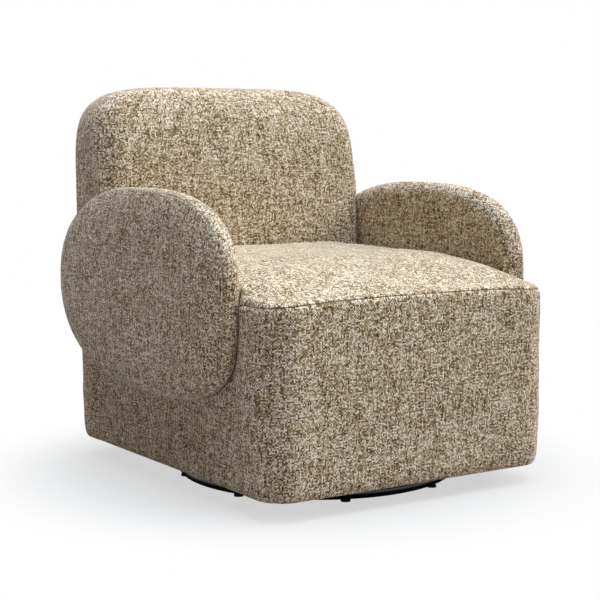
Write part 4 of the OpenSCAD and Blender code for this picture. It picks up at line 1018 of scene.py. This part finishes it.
def build_back():
    """The rounded back: swelling face, rolled top and ends, and a seamed panel over its rear."""
    s = sizes()
    levels = back_levels()
    seam_z = BACK_TOP_Z - BACK_SEAM_DROP
    levels = levels[np.abs(levels - seam_z) > 1.6 * SEAM_HALF]
    levels = np.sort(np.concatenate([levels, seam_z + np.array(SEAM_SHARES) * SEAM_HALF]))
    made = [back_ring(z) for z in levels]
    rings = np.array([ring for ring, _, _ in made])
    _, first, rear = made[0]
    calm = ramp(rings[..., 2], BACK_FOOT_Z, 80 * MM) * back_share(rings[..., 2])
    uneven = unevenness(rings, (0.16, 9, 1), (0.07, 10, 0.4))
    rings = rings + normals_of(rings) * (uneven * calm * BACK_UNEVEN)[..., None]
    rings = pressed(rings, soften=12 * MM)
    n = normals_of(rings)
    z, rear = levels[:, None], np.abs(rear)[None, :]
    beside = (rear - BACK_SEAM_SHARE) * (BODY_HALF - s.back_corner)
    upright = bump(beside, SEAM_HALF) * (z <= seam_z + SEAM_HALF)
    level = bump(z - seam_z, SEAM_HALF) * (rear <= BACK_SEAM_SHARE + 1e-6)
    puff = (bump(beside, BACK_PUFF_HALF) * (z <= seam_z)
            + bump(z - seam_z, BACK_PUFF_HALF) * (rear <= BACK_SEAM_SHARE))
    depth = np.maximum(upright, level) * s.seam_depth + np.clip(puff, 0, 1) * BACK_SEAM_PUFF
    columns = slice(first, first + rear.size)
    rings[:, columns] -= n[:, columns] * depth[..., None]
    # The foot turns in
    foot = rings[0].copy()
    toward = foot.mean(0) - foot
    toward /= np.linalg.norm(toward, axis=1, keepdims=True)
    rings[0] = foot + toward * 1.2 * MM + (0, 0, 1.2 * MM)
    rings = np.concatenate([[foot + toward * 2.6 * MM + (0, 0, 0.4 * MM)], rings])
    base = rings[3]
    around = distance_along(closing(base))
    up = distance_along(rings[:, FACE_MIDDLE])
    coords = cloth_grid(around - around[FACE_MIDDLE] + BACK_CLOTH_X, up)
    # The cover runs on over the top as a flat cloth, in line with the middle of the face
    top_row = int(np.argmax(normals_of(rings)[:, FACE_MIDDLE, 2] > BACK_TOP_TURN))
    way = math.copysign(1, base[FACE_MIDDLE + 1, 0] - base[FACE_MIDDLE - 1, 0])
    top_coords = ((closing(rings, 1)[..., :2] - (base[FACE_MIDDLE, 0], rings[top_row, FACE_MIDDLE, 1]))
                  * (way, 1) + (BACK_CLOTH_X, up[top_row]))
    piece = sweep("back", rings, coords, shared("Slub tweed", slub_tweed), top=(top_row, top_coords))
    dress(piece, 0.85, "back_inside_cover", "back_outside_cover", "back_foam")
    return piece


# An arm. Its crown falls by two shares, each with its power. The other lists hold mm: how far in
# from the seam, and how far in from the panel's rim.
ARM_CROWN_FALLS = ((0.9, 4.4), (0.1, 14))
ARM_GROOVE_SIDE = ((2.2, -0.5), (1.5, -1.2), (1.5, -2.2))
ARM_WRAP_START = ((0.5, -3.5), (-1.0, -4.3), (-2.4, -5.9), (-3.6, -8.2), (-4.6, -11))
ARM_PANEL_START = 3.2 * MM
# How near the oval's middle the panel and the inner face reach, as shares of the half height
ARM_PANEL_REACH, ARM_INNER_REACH = 0.985, 0.97
ARM_UNEVEN = 1.6 * MM
ARM_CLOTH_X, ARM_CLOTH_APART, WRAP_CLOTH_AT = 12.0, 2.0, (1.37, 0.61)


def arm_section():
    """An arm's section from the middle of its panel over the seam and the edge to its inner face.

    Each point is how far in it lies, its X, and how far in it lay on the flat cloth. With them comes
    the place of the groove.
    """
    s = sizes()
    half, seam = ARM_HALF_Z, s.arm_seam
    points = []
    for a in half * ARM_PANEL_REACH * (1 - np.linspace(0, 1, 34) ** 0.8):
        inset = seam + ARM_PANEL_START + a * (half - seam - ARM_PANEL_START) / half
        share = 1 - (inset - seam) / (half - seam)
        fall = sum(part * share ** power for part, power in ARM_CROWN_FALLS)
        points.append((inset, ARM_OUTER_X - s.arm_crown * fall, inset))
    rim_x = points[-1][1]
    for a, b in ARM_GROOVE_SIDE:
        points.append((seam + a * MM, rim_x + b * MM, seam + a * MM))
    groove = len(points)
    points.append((seam + s.seam_depth, rim_x - 3.1 * MM, seam + 1.2 * MM))
    points += [(seam + a * MM, rim_x + b * MM, None) for a, b in ARM_WRAP_START]
    start_in, start_x, _ = points[-1]
    width = ARM_EDGE_SHARE * s.arm_round
    edge_x = ARM_LOW.x + width
    for t in np.linspace(0, 1, 9)[1:]:
        points.append((start_in * (1 - t) ** 2, start_x + (edge_x - start_x) * t, None))
    for a in np.radians(np.linspace(0, 90, 19)[1:]):
        points.append((s.arm_round * (1 - math.cos(a) ** (2 / ARM_EDGE_POWER)),
                       edge_x - width * math.sin(a) ** (2 / ARM_EDGE_POWER), None))
    for inset in np.linspace(s.arm_round, half * ARM_INNER_REACH, 16)[1:]:
        points.append((inset, ARM_LOW.x, None))
    flat = points[-1][0]
    for k in range(len(points) - 1, groove, -1):
        inset, x, _ = points[k]
        points[k] = (inset, x, flat)
        flat -= math.hypot(inset - points[k - 1][0], x - points[k - 1][1])
    return np.array(points), groove


def build_arm(name, side, *nodes):
    """An oval arm pad: crowned outer panel, sewn groove and a wrap that rounds to the inner face."""
    s = sizes()
    dense = np.linspace(0, -2 * math.pi, 4001)
    outline = np.column_stack(arm_oval(dense, 0.0))
    angles = np.interp(spaced(outline, MESH_STEP), np.arange(len(dense)), dense)[:-1]
    all_round = np.append(angles, angles[0] - 2 * math.pi)
    section, groove = arm_section()
    rings, coords = [], []
    for inset, x, flat in section:
        rings.append(np.column_stack([np.full(len(angles), x), *arm_oval(angles, inset)]))
        coords.append(np.column_stack(arm_oval(all_round, flat)))
    rings, coords = np.array(rings), np.array(coords) + (ARM_CLOTH_X + ARM_CLOTH_APART * side, 0)
    coords[groove + 1:] += WRAP_CLOTH_AT
    calm = ramp(section[:, 0], s.arm_seam, 45 * MM)
    calm[groove:] = 0
    uneven = unevenness(rings, (0.12, 13 + side, 1), (0.05, 17 + side, 0.5))
    rings[..., 0] += uneven * calm[:, None] * ARM_UNEVEN
    rings[..., 0] *= side
    piece = sweep(name, rings, coords, shared("Slub tweed", slub_tweed), flip=side < 0)
    dress(piece, 0.85, *nodes)
    return piece


SPRING_X = 68 * MM
SPRING_SIDES, SPRING_STEPS, SPRING_SMOOTHING = 12, 30, 13


def build_springs():
    """Four coil springs with closed ground ends."""
    s = sizes()
    wire = s.coil_wire / 2
    low, high = SPRING_LOW.z, SPRING_HIGH.z
    coil_r = SPRING_HIGH.x - SPRING_X - wire
    spring_y = (SPRING_HIGH.y - SPRING_LOW.y) / 2 - coil_r - wire
    turns, sides = s.coil_turns, SPRING_SIDES
    t = np.linspace(0, turns, turns * SPRING_STEPS + 1)
    # The height rises by a wire over each end turn, and by the rest over the free turns
    closed = 2 * wire
    travel = high - low - 2 * wire
    heights = np.interp(t, [0, 1, turns - 1, turns], [0, closed, travel - closed, travel])
    kernel = np.hanning(SPRING_SMOOTHING)
    heights = np.pad(heights, SPRING_SMOOTHING // 2, "edge")
    heights = low + wire + np.convolve(heights, kernel / kernel.sum(), "valid")
    out = np.column_stack([np.cos(2 * math.pi * t), np.sin(2 * math.pi * t), np.zeros(len(t))])
    turn = 2 * math.pi * np.arange(sides)[:, None] / sides
    points, faces, uvs = [], [], []
    for sx, sy in ((-1, -1), (-1, 1), (1, -1), (1, 1)):
        line = coil_r * out + (sx * SPRING_X, SWIVEL_Y + sy * spring_y, 0)
        line[:, 2] = heights
        tangent = np.gradient(line, axis=0)
        tangent /= np.linalg.norm(tangent, axis=1, keepdims=True)
        start = len(points)
        up = np.cross(tangent, out)
        skin = line[:, None] + wire * (np.cos(turn) * out[:, None] + np.sin(turn) * up[:, None])
        skin[..., 2] = np.clip(skin[..., 2], low + 0.2 * MM, high - 0.2 * MM)
        points += list(skin.reshape(-1, 3))
        for i in range(len(t) - 1):
            a = start + i * sides
            for k in range(sides):
                m = (k + 1) % sides
                faces.append((a + k, a + m, a + sides + m, a + sides + k))
        ends = [tuple(range(a, a + sides)) for a in (start, start + (len(t) - 1) * sides)]
        faces += [ends[0][::-1], ends[1]]
        uvs += [(0, 0)] * (4 * sides * (len(t) - 1) + 2 * sides)
    piece = new_piece("coil_springs", points, faces, uvs, shared("Zinc plated steel", zinc_plated_steel))
    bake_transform(piece)
    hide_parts("rocker_springs")
    return piece


# The floor's radius, and the distances between which it fades into the white, in metres
FLOOR_RADIUS, FADE_START, FADE_END = 9.0, 0.4, 0.78


def build_stage():
    """Pale studio floor that keeps the chair's shadow and fades to a white background."""
    c = colours()
    rings, spokes = 24, 96
    radii = FLOOR_RADIUS * (np.arange(1, rings + 1) / rings) ** 2
    points = [(0, 0, 0)] + [
        (r * math.cos(2 * math.pi * k / spokes), r * math.sin(2 * math.pi * k / spokes), 0)
        for r in radii for k in range(spokes)]
    faces = [(0, 1 + k, 1 + (k + 1) % spokes) for k in range(spokes)]
    for i in range(rings - 1):
        for k in range(spokes):
            a, b = 1 + i * spokes + k, 1 + i * spokes + (k + 1) % spokes
            faces.append((a, a + spokes, b + spokes, b))
    material = bpy.data.materials.new("Matt studio floor")
    tree = empty_tree(material)
    where = add(tree, "TexCoord")
    grain = add(tree, "TexNoise", {"Scale": 1 / (6 * MM), "Detail": 2.0},
                {"Vector": where.outputs["Object"]})
    shade = add(tree, "ValToRGB", {"stops": [(0.2, toned(c.floor, 0.985)), (0.8, c.floor)]},
                {"Fac": grain})
    paint = add(tree, "BsdfDiffuse", links={"Color": shade})
    white = add(tree, "Emission", {"Color": opaque((1, 1, 1)), "Strength": 1.0})
    flat = add(tree, "VectorMath", {"operation": "LENGTH"}, {0: where.outputs["Object"]})
    fade = add(tree, "MapRange", {
        "interpolation_type": "SMOOTHSTEP", "From Min": FADE_START, "From Max": FADE_END,
        "To Min": bpy.context.scene.rocker_studio.floor_white, "To Max": 1.0},
        {"Value": flat.outputs["Value"]})
    rays = add(tree, "LightPath")
    seen = add(tree, "Math", {"operation": "MULTIPLY"}, {0: fade, 1: rays.outputs["Is Camera Ray"]})
    mixed = add(tree, "MixShader", links={0: seen, 1: paint, 2: white})
    add(tree, "OutputMaterial", links={"Surface": mixed})
    mesh = bpy.data.meshes.new("studio_floor")
    mesh.from_pydata(points, [], faces)
    mesh.materials.append(material)
    floor = bpy.data.objects.new("studio_floor", mesh)
    bpy.context.scene.collection.objects.link(floor)


# Where the lights come from, and the width of the camera's sensor in mm
KEY_FROM, SIDE_FROM = (0.08, -0.1, 1.0), (0.8, -0.3, 0.62)
SENSOR_WIDTH = 36


def build_light():
    """A broad light overhead, a weaker one from the right, and an even fill with a white background."""
    studio = bpy.context.scene.rocker_studio
    for name, strength, size, tint, towards in (
            ("key", studio.key, studio.key_size, studio.key_tint, KEY_FROM),
            ("side", studio.side, studio.side_size, studio.side_tint, SIDE_FROM)):
        lamp = bpy.data.lights.new(name, "SUN")
        lamp.energy = strength
        lamp.angle = size
        lamp.color = tint
        holder = bpy.data.objects.new(name, lamp)
        holder.rotation_mode = "QUATERNION"
        holder.rotation_quaternion = Vector(towards).to_track_quat("Z", "Y")
        bpy.context.scene.collection.objects.link(holder)
    world = bpy.data.worlds.new("studio")
    tree = empty_tree(world)
    rays = add(tree, "LightPath")
    seen = add(tree, "Math", {"operation": "MAXIMUM"},
               {0: rays.outputs["Is Camera Ray"], 1: rays.outputs["Is Glossy Ray"]})
    shown = add(tree, "Math", {"operation": "MAXIMUM"},
                {0: seen, 1: rays.outputs["Is Transmission Ray"]})
    fill = add(tree, "Background", {"Color": opaque(studio.fill_tint), "Strength": studio.fill})
    white = add(tree, "Background", {"Color": opaque((1, 1, 1)), "Strength": 1.0})
    mixed = add(tree, "MixShader", links={0: shown, 1: fill, 2: white})
    add(tree, "OutputWorld", links={"Surface": mixed})
    bpy.context.scene.world = world


def build_camera():
    """A camera at the photograph's place and angle."""
    studio = bpy.context.scene.rocker_studio
    lens = bpy.data.cameras.new("view")
    lens.lens = studio.lens
    lens.sensor_width = SENSOR_WIDTH
    camera = bpy.data.objects.new("view", lens)
    camera.location = studio.camera_place
    camera.rotation_euler = studio.camera_turn
    bpy.context.scene.collection.objects.link(camera)
    bpy.context.scene.camera = camera


class ROCKER_OT_block(bpy.types.Operator):
    """Make the cover of the seat block"""

    bl_idname = "rocker.block"
    bl_label = "Seat block"

    def execute(self, context):
        build_block()
        return {"FINISHED"}


class ROCKER_OT_seat(bpy.types.Operator):
    """Make the crowned seat"""

    bl_idname = "rocker.seat"
    bl_label = "Seat"

    def execute(self, context):
        build_seat()
        return {"FINISHED"}


class ROCKER_OT_back(bpy.types.Operator):
    """Make the rounded back"""

    bl_idname = "rocker.back"
    bl_label = "Back"

    def execute(self, context):
        build_back()
        return {"FINISHED"}


class ROCKER_OT_arms(bpy.types.Operator):
    """Make the two oval arms"""

    bl_idname = "rocker.arms"
    bl_label = "Arms"

    def execute(self, context):
        build_arm("arm_right", 1, "arm_panel_right", "arm_wrap_right", "arm_foam_right")
        build_arm("arm_left", -1, "arm_panel_left", "arm_wrap_left", "arm_foam_left")
        return {"FINISHED"}


class ROCKER_OT_springs(bpy.types.Operator):
    """Make the four coil springs of the rocker"""

    bl_idname = "rocker.springs"
    bl_label = "Coil springs"

    def execute(self, context):
        build_springs()
        return {"FINISHED"}


class ROCKER_OT_metalwork(bpy.types.Operator):
    """Finish the floor ring, the swivel, the rocker and the fastenings"""

    bl_idname = "rocker.metalwork"
    bl_label = "Metalwork"

    def execute(self, context):
        finish_nodes(gloss_painted_steel(), "floor_ring", "base_spider", "rocker_bracket", "rocker_plate",
                     "spring_cups_lower", "spring_cups_upper")
        finish_nodes(ground_steel(), "lower_race", "upper_race", "bearing_balls", "rock_shaft")
        finish_nodes(shared("Zinc plated steel", zinc_plated_steel), "king_pin", "king_nut",
                     "shaft_clips", "plate_screws", "arm_bolts", "seat_springs", "spring_clips")
        finish_nodes(turned_brass(), "ball_cage", "rocker_bushes")
        finish_nodes(moulded_rubber(), "ring_glides", "stop_bumpers")
        return {"FINISHED"}


class ROCKER_OT_woodwork(bpy.types.Operator):
    """Finish the wooden frame"""

    bl_idname = "rocker.woodwork"
    bl_label = "Woodwork"

    def execute(self, context):
        finish_nodes(sawn_beech("X"), "bearers", "front_board", "rear_board", "back_top_rail",
                     "back_mid_rail")
        finish_nodes(sawn_beech("Y"), "side_board_left", "side_board_right", "arm_board_left",
                     "arm_board_right")
        finish_nodes(sawn_beech("Z"), "corner_blocks", "back_post_left", "back_post_right")
        return {"FINISHED"}


class ROCKER_OT_support(bpy.types.Operator):
    """Finish the webbing, the seat's deck and the dust cover"""

    bl_idname = "rocker.support"
    bl_label = "Webbing and deck"

    def execute(self, context):
        finish_nodes(jute_webbing(), "back_webbing")
        finish_nodes(pressed_felt(), "seat_deck")
        finish_nodes(spun_dust_cloth(), "dust_cover")
        return {"FINISHED"}


class ROCKER_OT_studio(bpy.types.Operator):
    """Make the floor, the light and the camera"""

    bl_idname = "rocker.studio"
    bl_label = "Studio"

    def execute(self, context):
        build_stage()
        build_light()
        build_camera()
        context.scene.view_settings.view_transform = "Standard"
        return {"FINISHED"}


class ROCKER_PT_sidebar(bpy.types.Panel):
    """Lists the rocker's pieces, sizes and colours"""

    bl_label = "Swivel Rocker"
    bl_idname = "ROCKER_PT_sidebar"
    bl_space_type = "VIEW_3D"
    bl_region_type = "UI"
    bl_category = "Rocker"

    def draw(self, context):
        layout = self.layout
        for operator in OPERATORS:
            layout.operator(operator.bl_idname)
        for group in (context.scene.rocker_sizes, context.scene.rocker_colours,
                      context.scene.rocker_studio):
            box = layout.box()
            for name in group.__annotations__:
                box.prop(group, name)


OPERATORS = (
    ROCKER_OT_studio, ROCKER_OT_springs, ROCKER_OT_metalwork, ROCKER_OT_woodwork, ROCKER_OT_support,
    ROCKER_OT_block, ROCKER_OT_seat, ROCKER_OT_back, ROCKER_OT_arms)
CLASSES = (RockerSizes, RockerColours, RockerStudio) + OPERATORS + (ROCKER_PT_sidebar,)


def register():
    """Registers the classes and the scene's properties."""
    for cls in CLASSES:
        bpy.utils.register_class(cls)
    bpy.types.Scene.rocker_sizes = PointerProperty(type=RockerSizes)
    bpy.types.Scene.rocker_colours = PointerProperty(type=RockerColours)
    bpy.types.Scene.rocker_studio = PointerProperty(type=RockerStudio)


def unregister():
    """Takes the properties and the classes away again."""
    del bpy.types.Scene.rocker_studio
    del bpy.types.Scene.rocker_colours
    del bpy.types.Scene.rocker_sizes
    for cls in reversed(CLASSES):
        bpy.utils.unregister_class(cls)


def main():
    """Makes every piece in order."""
    register()
    for operator in OPERATORS:
        group, name = operator.bl_idname.split(".")
        getattr(getattr(bpy.ops, group), name)()


if __name__ == "__main__":
    main()
